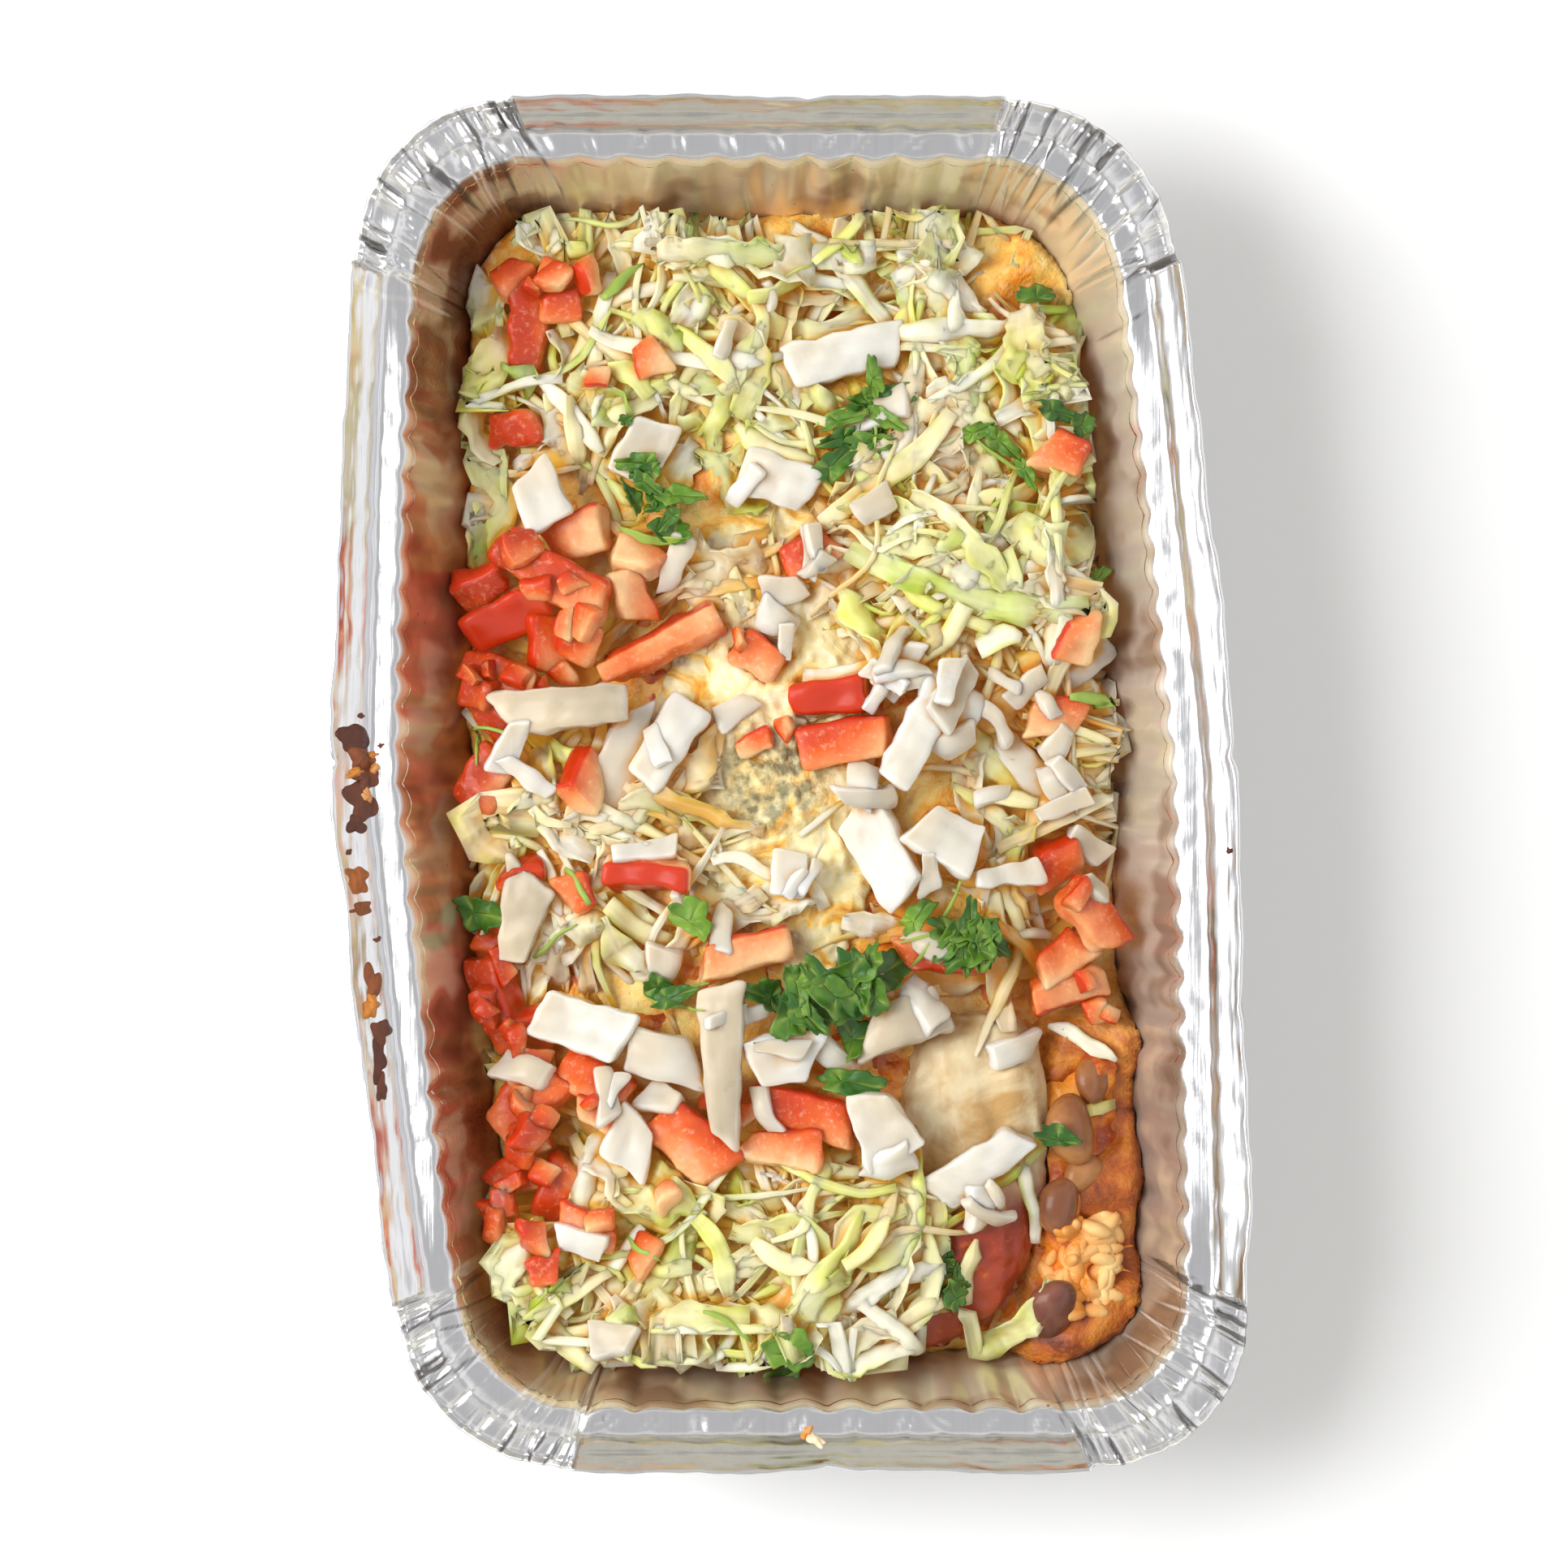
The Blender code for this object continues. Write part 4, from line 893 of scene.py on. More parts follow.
def box_skin(columns, rows, layers):
    """Lattice points over a box's skin, from -1 to 1 and closer at its edges, and the quads between them."""
    index, points, faces = {}, [], []

    def at(i, j, k):
        if (i, j, k) not in index:
            index[i, j, k] = len(points)
            points.append((i / columns, j / rows, k / layers))
        return index[i, j, k]

    def quad(corners, outward):
        faces.append(tuple(corners) if outward else tuple(corners[::-1]))

    for i in range(columns):
        for j in range(rows):
            for k in (0, layers):
                quad([at(i, j, k), at(i + 1, j, k), at(i + 1, j + 1, k), at(i, j + 1, k)], k > 0)
        for k in range(layers):
            for j in (0, rows):
                quad([at(i, j, k), at(i, j, k + 1), at(i + 1, j, k + 1), at(i + 1, j, k)], j > 0)
    for j in range(rows):
        for k in range(layers):
            for i in (0, columns):
                quad([at(i, j, k), at(i, j + 1, k), at(i, j + 1, k + 1), at(i, j, k + 1)], i > 0)
    return np.sin((np.array(points) - 0.5) * math.pi), faces


class CutStyle(NamedTuple):
    """How a knife leaves a piece, in mm where it is a length, and how far apart its mesh's points lie."""

    radius: float
    skew: float
    taper: float
    wedge: float
    bend: float
    waver: float
    grain: float
    spacing: float


TOMATO_CUT = CutStyle(1.1, 0.35, 0.26, 0.32, 0.8, 0.32, 0.06, 0.6)
ONION_CUT = CutStyle(0.9, 0.45, 0.34, 0.30, 1.6, 0.30, 0.03, 0.6)


class Cuts(Heap):
    """Chopped pieces gathered into one mesh."""

    def __init__(self, style):
        super().__init__()
        self.style = style

    def add(self, centre, axes, half, dice, seed, tone):
        """A piece about centre, its half sizes along the rows of axes, all in mm."""
        style = self.style
        half = np.asarray(half, float)
        unit, faces = box_skin(*(int(max(4, min(22, 2 * h / style.spacing))) for h in half))
        radius = min(style.radius, 0.45 * half.min())
        place = unit * half
        core = np.clip(place, radius - half, half - radius)
        out = place - core
        out /= np.maximum(np.linalg.norm(out, axis=1), 1e-9)[:, None]
        x, y, z = (core + out * radius).T
        along, side = x / half[0], y / half[1]
        skew = style.skew * dice.uniform(-1, 1, 2)
        taper = style.taper * dice.uniform(-1, 1)
        wedge = style.wedge * dice.uniform(-1, 1, 2)
        bend = style.bend * dice.uniform(-0.3, 1)
        x = x + y * (skew[0] + skew[1] * along)
        y = y * (1 + taper * along)
        z = z * (1 + wedge[0] * side + 0.5 * wedge[1] * along)
        z = z - bend * (along**2 - 0.4) - 0.4 * bend * side**2
        place = np.stack([x, y, z], axis=1)
        waver = style.waver * ripples(place, 6, seed) + style.grain * ripples(place, 1.5, seed + 1, 14)
        place = place + out * waver[:, None]
        self.gather(centre + place @ axes, faces, unit=0.5 + 0.5 * unit, across=place[:, 1], tone=tone)


def tomato_finish(props):
    """Wet cut tomato: flesh that pales towards one face, and a smooth deep skin along one side, with painted
    wet glints, painted shade by the left wall, and sauce and painted shade where it lies deep.
    """
    finish = Finish(
        "tomato", subsurface_weight=0.7, subsurface_scale=0.005, coat_weight=0.35,
        subsurface_radius=(1.0, 0.4, 0.18), coat_roughness=0.12
    )
    along, across, up = finish.split(finish.attribute("unit", "Vector"))
    tone = finish.attribute("tone")
    cloud = finish.noise(120.0, 3.0, 0.55)
    grain = finish.noise(900.0, 3.0, 0.65)
    side = finish.mask(across + 0.12 * cloud, 0.93, 1.04)
    skin = (side + 0.9 * finish.mask(0.12 * cloud - up, -0.10, 0.04)).least(1.0)
    x = finish.split(finish.place())[0]
    ripeness_and_shade = 0.55 * across + 0.30 * along + 0.9 * (cloud - 0.5) + 0.5 * (tone - 0.5)
    # Redder towards the left wall: painted shade.
    ripeness_and_shade = ripeness_and_shade + 0.42 * finish.mask(x, -0.034, -0.048)
    flesh = finish.ramp(
        ripeness_and_shade,
        (0.06, props.tomato_core),
        (0.34, props.tomato_flesh),
        (0.60, seen(220, 98, 32)),
        (0.86, props.tomato_ripe),
    )
    # Pale specks over the flesh: painted wet glints.
    flesh = finish.mix(0.34 * finish.mask(grain, 0.54, 0.72), flesh, seen(255, 216, 182))
    # Sauce and painted shade where the piece lies deep.
    flesh = finish.soaked_and_shaded(flesh, seen(226, 128, 84), 0.8)
    # Darker towards the left wall: painted shade.
    flesh = finish.mix(0.6 * finish.mask(x, -0.036, -0.048), flesh, (0.62, 0.46, 0.42), "MULTIPLY")
    finish.set("Base Color", finish.mix(skin, flesh, props.tomato_skin))
    finish.set("Roughness", 0.22 + 0.2 * grain)
    finish.bump(0.4 * grain * (1.0 - 0.9 * skin) + 0.8 * cloud, 0.00035)
    return finish.material


def onion_finish(props):
    """Translucent onion, faintly streaked, clearer towards one end, with a painted highlight at its cut edges,
    and sauce and painted shade where it lies deep.
    """
    finish = Finish(
        "onion", subsurface_weight=0.7, subsurface_scale=0.004, coat_weight=0.4,
        subsurface_radius=(1.0, 0.92, 0.75), coat_roughness=0.12
    )
    along, across = finish.split(finish.attribute("unit", "Vector"))[:2]
    tone = finish.attribute("tone")
    cloud = finish.noise(110.0, 3.0, 0.55)
    lines = finish.mask((finish.attribute("across") * 2.2 + 8.0 * cloud).sine(), -0.8, 1.0)
    edge = finish.mask((along - 0.5).away().most((across - 0.5).away()), 0.42, 0.49)
    body = finish.mix(tone, props.onion_colour, props.onion_wet)
    clear = finish.mask(along + 0.4 * across + 1.2 * cloud + 0.5 * tone, 1.2, 2.3)
    body = finish.mix(0.85 * clear, body, seen(206, 190, 162))
    body = finish.mix(0.10 * lines, body, seen(206, 198, 184))
    # Painted highlight: the cut edges are lightened.
    body = finish.mix(0.6 * edge * (1.0 - 0.6 * tone), body, seen(238, 236, 230))
    # Sauce and painted shade where the piece lies deep.
    finish.set("Base Color", finish.soaked_and_shaded(body, props.leaf_sauce_shade, 0.9))
    finish.set("Roughness", 0.2 + 0.2 * cloud)
    finish.bump(lines * 0.2 + cloud, 0.00030)
    return finish.material


def extent(node):
    """The middle of a CAD node, its main axes in rows, the last one up, and its half sizes in mm."""
    source = frame["nodes"][node]
    cad = np.array([source.matrix_world @ v.co for v in source.data.vertices]) / MM
    middle = cad.mean(axis=0)
    axes = np.linalg.eigh(np.cov((cad - middle).T))[1].T[::-1]
    if axes[2][2] < 0:
        axes = axes * np.array([1, -1, -1])[:, None]
    local = (cad - middle) @ axes.T
    low, high = local.min(axis=0), local.max(axis=0)
    return middle + (0.5 * (low + high)) @ axes, axes, 0.5 * (high - low)


def loose_cut(cuts, relief, cut, height, dice, seed, tone, sink=0.5):
    """Adds a piece lying on the food at its place, and raises the relief over it."""
    half = np.array([cut.length, cut.width, height]) / 2
    x, y = keep_inside(cut.x, cut.y, float(relief.at(cut.x, cut.y)), 0.5 + half[1])
    turn = math.radians(cut.turn)
    level, axes = relief.bed_for(float(x), float(y), half[0], half[1], turn)
    roll = dice.normal(0, 0.16)
    turned = np.array([[1, 0, 0], [0, math.cos(roll), math.sin(roll)], [0, -math.sin(roll), math.cos(roll)]])
    axes = turned @ axes
    centre = np.array([float(x), float(y), level + half[2] - sink * height])
    cuts.add(centre, axes, half, dice, seed, tone)
    u, v = np.meshgrid(np.linspace(-1, 1, 24), np.linspace(-1, 1, 16))
    spots = centre + np.outer(u.ravel() * half[0], axes[0]) + np.outer(v.ravel() * half[1], axes[1])
    relief.fill(spots[:, 0], spots[:, 1], spots[:, 2] + half[2])


def strew(cuts, relief, zones, sizes, slim, each, heights, dice, tones):
    """Small pieces scattered over oval zones, each with its own count."""
    for k, zone in enumerate(zones):
        for n in range(int(zone.count * each)):
            angle, reach = dice.uniform(0, 2 * math.pi), math.sqrt(dice.uniform())
            x = zone.x + zone.half_x * reach * math.cos(angle)
            y = zone.y + zone.half_y * reach * math.sin(angle)
            length = dice.uniform(*sizes)
            cut = Cut(x, y, length, length * dice.uniform(*slim), dice.uniform(0, 180))
            seed = 7000 + 31 * k + 997 * n
            loose_cut(cuts, relief, cut, dice.uniform(*heights), dice, seed, dice.uniform(*tones), 0.35)


def food_so_far():
    """The pieces of food built before this step."""
    return [o for o in bpy.context.scene.objects if "meal_food" in o]


def node_cuts(kind, style, material, softest, first, seed, glassy=()):
    """A cut piece in place of each CAD node of this kind. Returns the relief of the food with them on it."""
    relief = Relief(FOOD_FLOOR, food_so_far())
    for k, node in enumerate(sorted(n for n in frame["nodes"] if n.startswith(kind + "_"))):
        dice = np.random.default_rng(first + k)
        cuts = Cuts(style)
        cuts.add(*extent(node), dice, seed + 3 * k, 1.0 if node in glassy else dice.uniform(0, softest))
        piece = cuts.piece(node + "_cut", material)
        relief.raise_to(piece)
        settle(piece, kind, node)
    return relief


def build_tomatoes(props):
    material = tomato_finish(props)
    relief = node_cuts("tomato", TOMATO_CUT, material, 1.0, 100, 2000)
    dice = np.random.default_rng(61)
    cuts = Cuts(TOMATO_CUT)
    for k, cut in enumerate(LOOSE_TOMATOES):
        loose_cut(cuts, relief, cut, dice.uniform(3.6, 5.2), dice, 3000 + 3 * k, dice.uniform(0, 1))
    strew(cuts, relief, TOMATO_ZONES, (3.0, 6.5), (0.5, 0.95), props.bits, (2.2, 3.8), dice, (0.1, 1.0))
    settle(cuts.piece("tomato_loose", material), "tomato")


def build_onions(props):
    material = onion_finish(props)
    relief = node_cuts("onion", ONION_CUT, material, 0.6, 500, 4000, WET_ONIONS)
    dice = np.random.default_rng(62)
    cuts = Cuts(ONION_CUT)
    for k, cut in enumerate(LOOSE_ONIONS):
        loose_cut(cuts, relief, cut, dice.uniform(2.2, 3.4), dice, 5000 + 3 * k, dice.uniform(0, 0.8))
    strew(cuts, relief, ONION_ZONES, (5.0, 12.5), (0.26, 0.44), props.bits, (1.5, 2.3), dice, (0.0, 0.8))
    settle(cuts.piece("onion_loose", material), "onion")


class Ribbons(Heap):
    """Thin strips gathered into one mesh."""

    ACROSS = np.linspace(-1, 1, 7)

    def add(self, path, width, up, thickness, cup, frill, tint, seed):
        """A strip along path, all arrays in mm, thinner at its edges, which may be frilled."""
        steps = len(path)
        tangent = np.gradient(path, axis=0)
        tangent /= np.linalg.norm(tangent, axis=1)[:, None]
        side = np.cross(up, tangent)
        side /= np.linalg.norm(side, axis=1)[:, None]
        over = np.cross(tangent, side)
        spread = self.ACROSS[None, :, None]
        middle = path[:, None, :] + side[:, None, :] * spread * (width / 2)[:, None, None]
        lift = cup * width[:, None] * self.ACROSS[None, :] ** 2
        flat = middle.reshape(-1, 3)
        lift = lift + 0.16 * width[:, None] * ripples(flat, 6.5, seed + 2).reshape(steps, -1)
        if frill:
            edge = np.abs(self.ACROSS[None, :]) ** 1.5
            lift = lift + frill * edge * ripples(flat, 4.2, seed).reshape(steps, -1)
            crook = 0.5 * frill * ripples(flat, 4.0, seed + 1).reshape(steps, -1, 1)
            middle = middle + side[:, None, :] * crook * np.abs(spread)
        middle = middle + over[:, None, :] * lift[:, :, None]
        ends = np.minimum(np.arange(steps), np.arange(steps)[::-1]) / steps
        thick = thickness / 2 * (1 - 0.6 * spread**2) * np.minimum(1, 0.3 + 3 * ends)[:, None, None]
        top = middle + over[:, None, :] * thick
        under = (middle - over[:, None, :] * thick)[:, ::-1]
        ring = np.concatenate([top, under], axis=1)
        around = ring.shape[1]
        faces = [f[::-1] for f in ring_faces(steps, around)]
        last = (steps - 1) * around
        for start, flip in ((0, False), (last, True)):
            for i in range(around // 2 - 1):
                cap = (start + i, start + i + 1, start + around - 2 - i, start + around - 1 - i)
                faces.append(cap[::-1] if flip else cap)
        across = np.tile(np.concatenate([self.ACROSS, self.ACROSS[::-1]]), steps)
        self.gather(ring.reshape(-1, 3), faces, tint=np.repeat(tint, around, axis=0), across=across)


class Salad:
    """Strips of lettuce laid one on another over a heap's core."""

    def __init__(self, relief, taken):
        self.relief = relief
        self.taken = taken
        self.ribbons = None

    def drape(self, path, width, stiffness, lift):
        """Heights of a strip that lies on what is under it, bridging the hollows as a stiff strip does."""
        half = 0.35 * width
        offsets = ((0, 0), (half, 0), (-half, 0), (0, half), (0, -half))
        ground = np.max([self.relief.at(path[:, 0] + dx, path[:, 1] + dy) for dx, dy in offsets], axis=0)
        height = ground.copy()
        for _ in range(stiffness):
            inner = 0.5 * (height[:-2] + height[2:])
            height[1:-1] = np.maximum(inner, ground[1:-1] - 0.5)
            height[0] = max(ground[0] - 0.8, 2 * height[1] - height[2])
            height[-1] = max(ground[-1] - 0.8, 2 * height[-2] - height[-3])
        return np.minimum(height, ground + 2.6) + lift

    def lay(self, start, end, style, tints, dice, free=True):
        """Lays a strip from start to end, in mm. A free one gives way to the larger cuts."""
        start, end = np.array(start, float), np.array(end, float)
        length = np.linalg.norm(end - start)
        steps = max(7, min(17, int(length / 1.7) + 3))
        t = np.linspace(0, 1, steps)
        along = (end - start) / max(length, 1e-6)
        sideways = np.array([-along[1], along[0]])
        swing = np.sin(2 * math.pi * (t * dice.uniform(0.6, 1.6) + dice.uniform()))
        curve = style.bow * 4 * t * (1 - t) + style.wiggle * swing
        path = start + np.outer(t, end - start) + np.outer(curve, sideways)
        guess = self.relief.at(path[:, 0], path[:, 1]) + 5.0
        x, y = keep_inside(path[:, 0], path[:, 1], guess, style.width / 2 - 0.2)
        path = np.stack([x, y], axis=1)
        if free and self.taken[self.relief.cells(x, y)].mean() > 0.12:
            return False
        height = self.drape(path, style.width, 26, 0.4 * style.thickness)
        path = np.column_stack([path, height])
        blunt = dice.uniform(0.25, 1.0, 2)
        widths = style.width * np.interp(t, (0, 0.25, 0.75, 1), (blunt[0], 1, 1, blunt[1]))
        widths = widths * (1 + 0.14 * ripples(path, 8, int(dice.integers(1 << 30))))
        twist = dice.normal(0, 0.28) + dice.normal(0, 0.7) * (t - 0.5)
        tilt = np.stack([sideways[0] * np.sin(twist), sideways[1] * np.sin(twist), np.cos(twist)], axis=1)
        first, last = (np.array(seen(*TINTS[name])) * dice.uniform(0.90, 1.08) for name in tints)
        share = smooth_step(0.15, 0.85, t)[:, None]
        shade = np.clip(first * (1 - share) + last * share, 0, 1)
        seed = int(dice.integers(1 << 30))
        cup = dice.uniform(-0.10, 0.16)
        self.ribbons.add(path, widths, tilt, style.thickness, cup, style.frill, shade, seed)
        fine = np.linspace(0, 1, steps * 4)
        spine = np.stack([np.interp(fine, t, path[:, k]) for k in range(3)], axis=1)
        for off in (-0.38, 0.0, 0.38):
            spot = spine[:, :2] + sideways * off * style.width
            self.relief.fill(spot[:, 0], spot[:, 1], spine[:, 2] + 0.45 * style.thickness)
        return True


class Style(NamedTuple):
    """A strip's width, thickness, bow, wiggle and frill, in mm."""

    width: float
    thickness: float
    bow: float
    wiggle: float
    frill: float


class Kind(NamedTuple):
    """A sort of strip: its share of the salad and the ranges that its sizes come from, in mm."""

    share: float
    widths: tuple
    thicknesses: tuple
    lengths: tuple
    wiggle: float
    frill: float


KINDS = (
    Kind(0.28, (1.6, 2.8), (0.8, 1.1), (15, 36), 0.9, 0.1),
    Kind(0.26, (0.8, 1.6), (0.5, 0.8), (14, 40), 1.5, 0.15),
    Kind(0.30, (2.8, 5.2), (0.45, 0.7), (14, 32), 1.1, 0.9),
    Kind(0.16, (4.8, 8.6), (0.4, 0.6), (10, 24), 0.9, 1.3),
)
EDGE_HEIGHT = 23.0  # how high the food meets the wall, in mm
CORNER_RISE = 5.0  # how much higher it does so beside the beans and rice
CORE_LAP = 5  # how many of the relief's cells the core reaches under what lies beside it


def lettuce_finish(props):
    """Thin moist leaf, greener at some edges, with sauce, painted shade and a faint painted glow where it lies
    deep in the heap.
    """
    finish = Finish(
        "lettuce", subsurface_weight=0.6, subsurface_scale=0.003, coat_weight=0.25,
        subsurface_radius=(1.0, 0.95, 0.7), coat_roughness=0.18
    )
    tint = finish.attribute("tint", "Color")
    across = finish.attribute("across")
    patch = finish.noise(95.0, 3.0, 0.6)
    fine = finish.noise(380.0, 3.0, 0.65)
    lines = (across * 7.0 + 6.0 * patch).sine()
    edge = finish.mask(across.away(), 0.35, 1.0) * finish.mask(patch, 0.42, 0.66)
    colour = finish.mix(edge, tint, props.leaf_edge, "MULTIPLY")
    colour = finish.mix(0.40 * finish.mask(patch, 0.60, 0.38), colour, props.leaf_pale)
    colour = finish.mix(0.07 * finish.mask(lines, 0.2, 1.0), colour, seen(255, 252, 236))
    # Sauce, painted warm shade and a faint painted glow where a strip lies deep.
    colour = finish.soaked_and_shaded(colour, props.leaf_sauce_shade, 1.0)
    finish.set("Base Color", colour)
    finish.set("Roughness", 0.24 + 0.26 * fine)
    finish.bump(patch + 0.07 * lines + 0.25 * fine, 0.00030)
    return finish.material


def core_finish():
    """What shows between the strips: sauced scraps, browner at the near right corner."""
    finish = Finish("salad_core", coat_weight=0.35)
    x, y = finish.split(finish.place())[:2]
    cloud = finish.noise(95.0, 5.0, 0.62, distortion=0.8)
    colour = finish.ramp(
        cloud,
        (0.28, seen(186, 82, 28)),
        (0.38, seen(226, 138, 38)),
        (0.48, seen(238, 182, 78)),
        (0.60, seen(242, 208, 124)),
        (0.74, seen(222, 206, 108)),
    )
    crumb = finish.mask(finish.noise(360.0, 4.0, 0.65), 0.52, 0.66)
    colour = finish.mix(0.35 * crumb, colour, seen(250, 228, 176))
    browns = (0.36, seen(118, 50, 20)), (0.48, seen(178, 90, 28)), (0.60, seen(216, 138, 50))
    brown = finish.ramp(cloud, *browns)
    corner = finish.mask(x + 0.01 * cloud, 0.036, 0.046) * finish.mask(y, -0.030, -0.044)
    finish.set("Base Color", finish.mix(corner, colour, brown))
    finish.set("Roughness", 0.26 + 0.3 * cloud)
    finish.bump(finish.noise(260.0, 4.0, 0.65), 0.0010)
    return finish.material


def in_patch(patch, x, y):
    angle = math.atan2((y - patch.y) / patch.half_length, (x - patch.x) / patch.half_width)
    c, s = abs(math.cos(angle)), abs(math.sin(angle))
    reach = (c**2.6 + s**2.6) ** (-1 / 2.6)
    reach *= 1 + patch.waver * (math.sin(3 * angle + patch.x) + math.sin(7 * angle + patch.y))
    return math.hypot((x - patch.x) / patch.half_width, (y - patch.y) / patch.half_length) < reach


def tints_for(x, y, dice):
    """Both ends' tints: greener towards the tray's ends, whiter and wetter in its middle."""
    if -28 < x < 12 and -14 < y < 46:
        odds = {"wilted": 0.14, "honey": 0.32, "beige": 0.28, "cream": 0.16, "white": 0.10}
    elif y > 28:
        odds = {"white": 0.20, "cream": 0.28, "pale": 0.26, "green": 0.12, "vivid": 0.02, "beige": 0.12}
    elif y > -45:
        odds = {"white": 0.30, "cream": 0.30, "pale": 0.08, "honey": 0.08, "beige": 0.24}
    else:
        odds = {"white": 0.16, "cream": 0.30, "pale": 0.28, "green": 0.12, "vivid": 0.02, "beige": 0.12}
    names, shares = list(odds), list(odds.values())
    return str(dice.choice(names, p=shares)), str(dice.choice(names, p=shares))


# Where loose strips lie outside the heaps: over the cheese, over the roll and along the walls.
WILTED_ZONES = (
    Zone(-3, 12, 17, 38, 30), Zone(-14, -32, 32, 8, 34), Zone(33, -34, 12, 6, 8), Zone(54, 12, 4, 34, 14),
    Zone(51, 64, 5, 20, 22), Zone(-54, 20, 4, 40, 22), Zone(-52, 62, 5, 22, 18), Zone(-50, -50, 5, 28, 18),
    Zone(-46, -80, 6, 14, 16), Zone(-8, 97, 40, 4, 34), Zone(-12, -98, 30, 4, 22),
)


def random_strip(x, y, kinds, dice):
    """A strip about (x, y): its two ends and its style."""
    shares = np.array([k.share for k in kinds])
    kind = kinds[int(dice.choice(len(kinds), p=shares / shares.sum()))]
    angle, length = dice.uniform(0, 2 * math.pi), dice.uniform(*kind.lengths)
    reach = 0.5 * length * np.array([math.cos(angle), math.sin(angle)])
    bow = dice.normal(0, 0.13) * length
    style = Style(dice.uniform(*kind.widths), dice.uniform(*kind.thicknesses), bow, kind.wiggle, kind.frill)
    return (x - reach[0], y - reach[1]), (x + reach[0], y + reach[1]), style


def filled_area(relief, margin):
    """Where the relief's cells are, how high the food meets the wall there, and which lie inside."""
    i, j = np.meshgrid(np.arange(relief.columns), np.arange(relief.rows), indexing="ij")
    x = (i + 0.5) * relief.STEP - relief.HALF_WIDTH
    y = (j + 0.5) * relief.STEP - relief.HALF_LENGTH
    edge = EDGE_HEIGHT + CORNER_RISE * smooth_step(34, 42, x) * smooth_step(-32, -42, y)
    near_x, near_y = keep_inside(x, y, edge, margin)
    return x, y, edge, np.hypot(near_x - x, near_y - y) < 0.3


def build_salad(props):
    """All four heaps: a sauced core under them out to the wall, and strips laid over it, the boldest last."""
    nodes = frame["nodes"]
    heaps = Relief(0.0, [nodes[n] for n in HEAPS])
    shown = Relief(0.0, [nodes[n] for n in ("enchilada_roll", "melted_cheese", "beans_and_rice")]).height
    relief = Relief(8.0, [nodes["enchilada_bed"]])
    taken = Relief(0.0, [nodes[n] for n in nodes if n.startswith(("tomato_", "onion_"))]).height > 0
    x, y, edge, within = filled_area(relief, 0.2)
    waver = 1.6 * ripples(np.stack([x.ravel(), y.ravel(), 0 * x.ravel()], 1), 22, 71).reshape(x.shape)
    relief.height = np.maximum(relief.height, heaps.height - 3.4)
    relief.height = np.where(within, np.maximum(relief.height, edge - 1 + waver), 0.0)
    dished = relief.height.copy()
    relief.soften(14)
    relief.height = np.where(within, np.maximum(relief.height, dished - 2.0), 0.0)
    core_height = relief.height.copy()
    relief.height = np.maximum(relief.height, shown)
    for zone in CLEAR_ZONES:
        taken |= ((x - zone.x) / zone.half_x) ** 2 + ((y - zone.y) / zone.half_y) ** 2 < 1
    finish = lettuce_finish(props)
    salad = Salad(relief, taken)
    for index, (name, patch) in enumerate(HEAPS.items()):
        dice = np.random.default_rng(40 + index)
        salad.ribbons = Ribbons()
        wanted = int(props.strips_per_area * 4 * patch.half_width * patch.half_length * MM * MM)
        laid, tries = 0, 0
        while laid < wanted and tries < 6 * wanted:
            tries += 1
            px = patch.x + 1.08 * patch.half_width * dice.uniform(-1, 1)
            py = patch.y + 1.05 * patch.half_length * dice.uniform(-1, 1)
            if not in_patch(patch, px, py):
                continue
            start, end, style = random_strip(px, py, KINDS, dice)
            laid += salad.lay(start, end, style, tints_for(px, py, dice), dice)
        for strip in STRIPS[name]:
            wide = strip.width > 4.2
            style = Style(strip.width, 0.9 if wide else 1.3, strip.bow, 0.3, 0.9 if wide else 0.1)
            ends = (strip.x0, strip.y0), (strip.x1, strip.y1)
            salad.lay(*ends, style, (strip.tint, strip.tint), dice, free=False)
        settle(salad.ribbons.piece(name + "_strips", finish), "lettuce", name)
    laps = (-CORE_LAP, 0, CORE_LAP)
    near = [np.roll(shown, (a, b), (0, 1)) for a in laps for b in laps]
    build_core(x, y, core_height, within & (core_height > np.min(near, axis=0)))
    salad.ribbons = Ribbons()
    dice = np.random.default_rng(47)
    for zone in WILTED_ZONES:
        for _ in range(zone.count):
            px = zone.x + zone.half_x * dice.uniform(-1, 1)
            py = zone.y + zone.half_y * dice.uniform(-1, 1)
            start, end, style = random_strip(px, py, KINDS, dice)
            salad.lay(start, end, style, tints_for(px, py, dice), dice)
    settle(salad.ribbons.piece("lettuce_loose", finish), "lettuce")


def build_core(*grids):
    """One sauced layer under all the heaps, from grids of its places, height and filled cells."""
    x, y, height, shown = (grid[::2, ::2] for grid in grids)
    columns, rows = height.shape
    top = np.stack([x, y, height], axis=2).reshape(-1, 3)
    top[:, 2] += 0.7 * ripples(top, 7, 77) + 0.35 * ripples(top, 2.5, 78, 16)
    under = top - np.array([0, 0, 2.2])
    keep = shown[:-1, :-1] & shown[1:, :-1] & shown[:-1, 1:] & shown[1:, 1:]
    faces, sides = [], set()
    count = columns * rows
    for a, b in np.argwhere(keep).tolist():
        low = a * rows + b
        quad = (low, low + rows, low + rows + 1, low + 1)
        faces += [quad, tuple(count + q for q in quad[::-1])]
        for edge in zip(quad, quad[1:] + quad[:1]):
            if edge[::-1] in sides:
                sides.remove(edge[::-1])
            else:
                sides.add(edge)
    faces += [(end, start, count + start, count + end) for start, end in sorted(sides)]
    used = np.unique(faces)
    place = np.full(2 * count, -1)
    place[used] = np.arange(len(used))
    points = inside_wall(np.concatenate([top, under])[used])
    settle(mesh_piece("salad_core", points, place[np.array(faces)].tolist(), core_finish()), "lettuce")


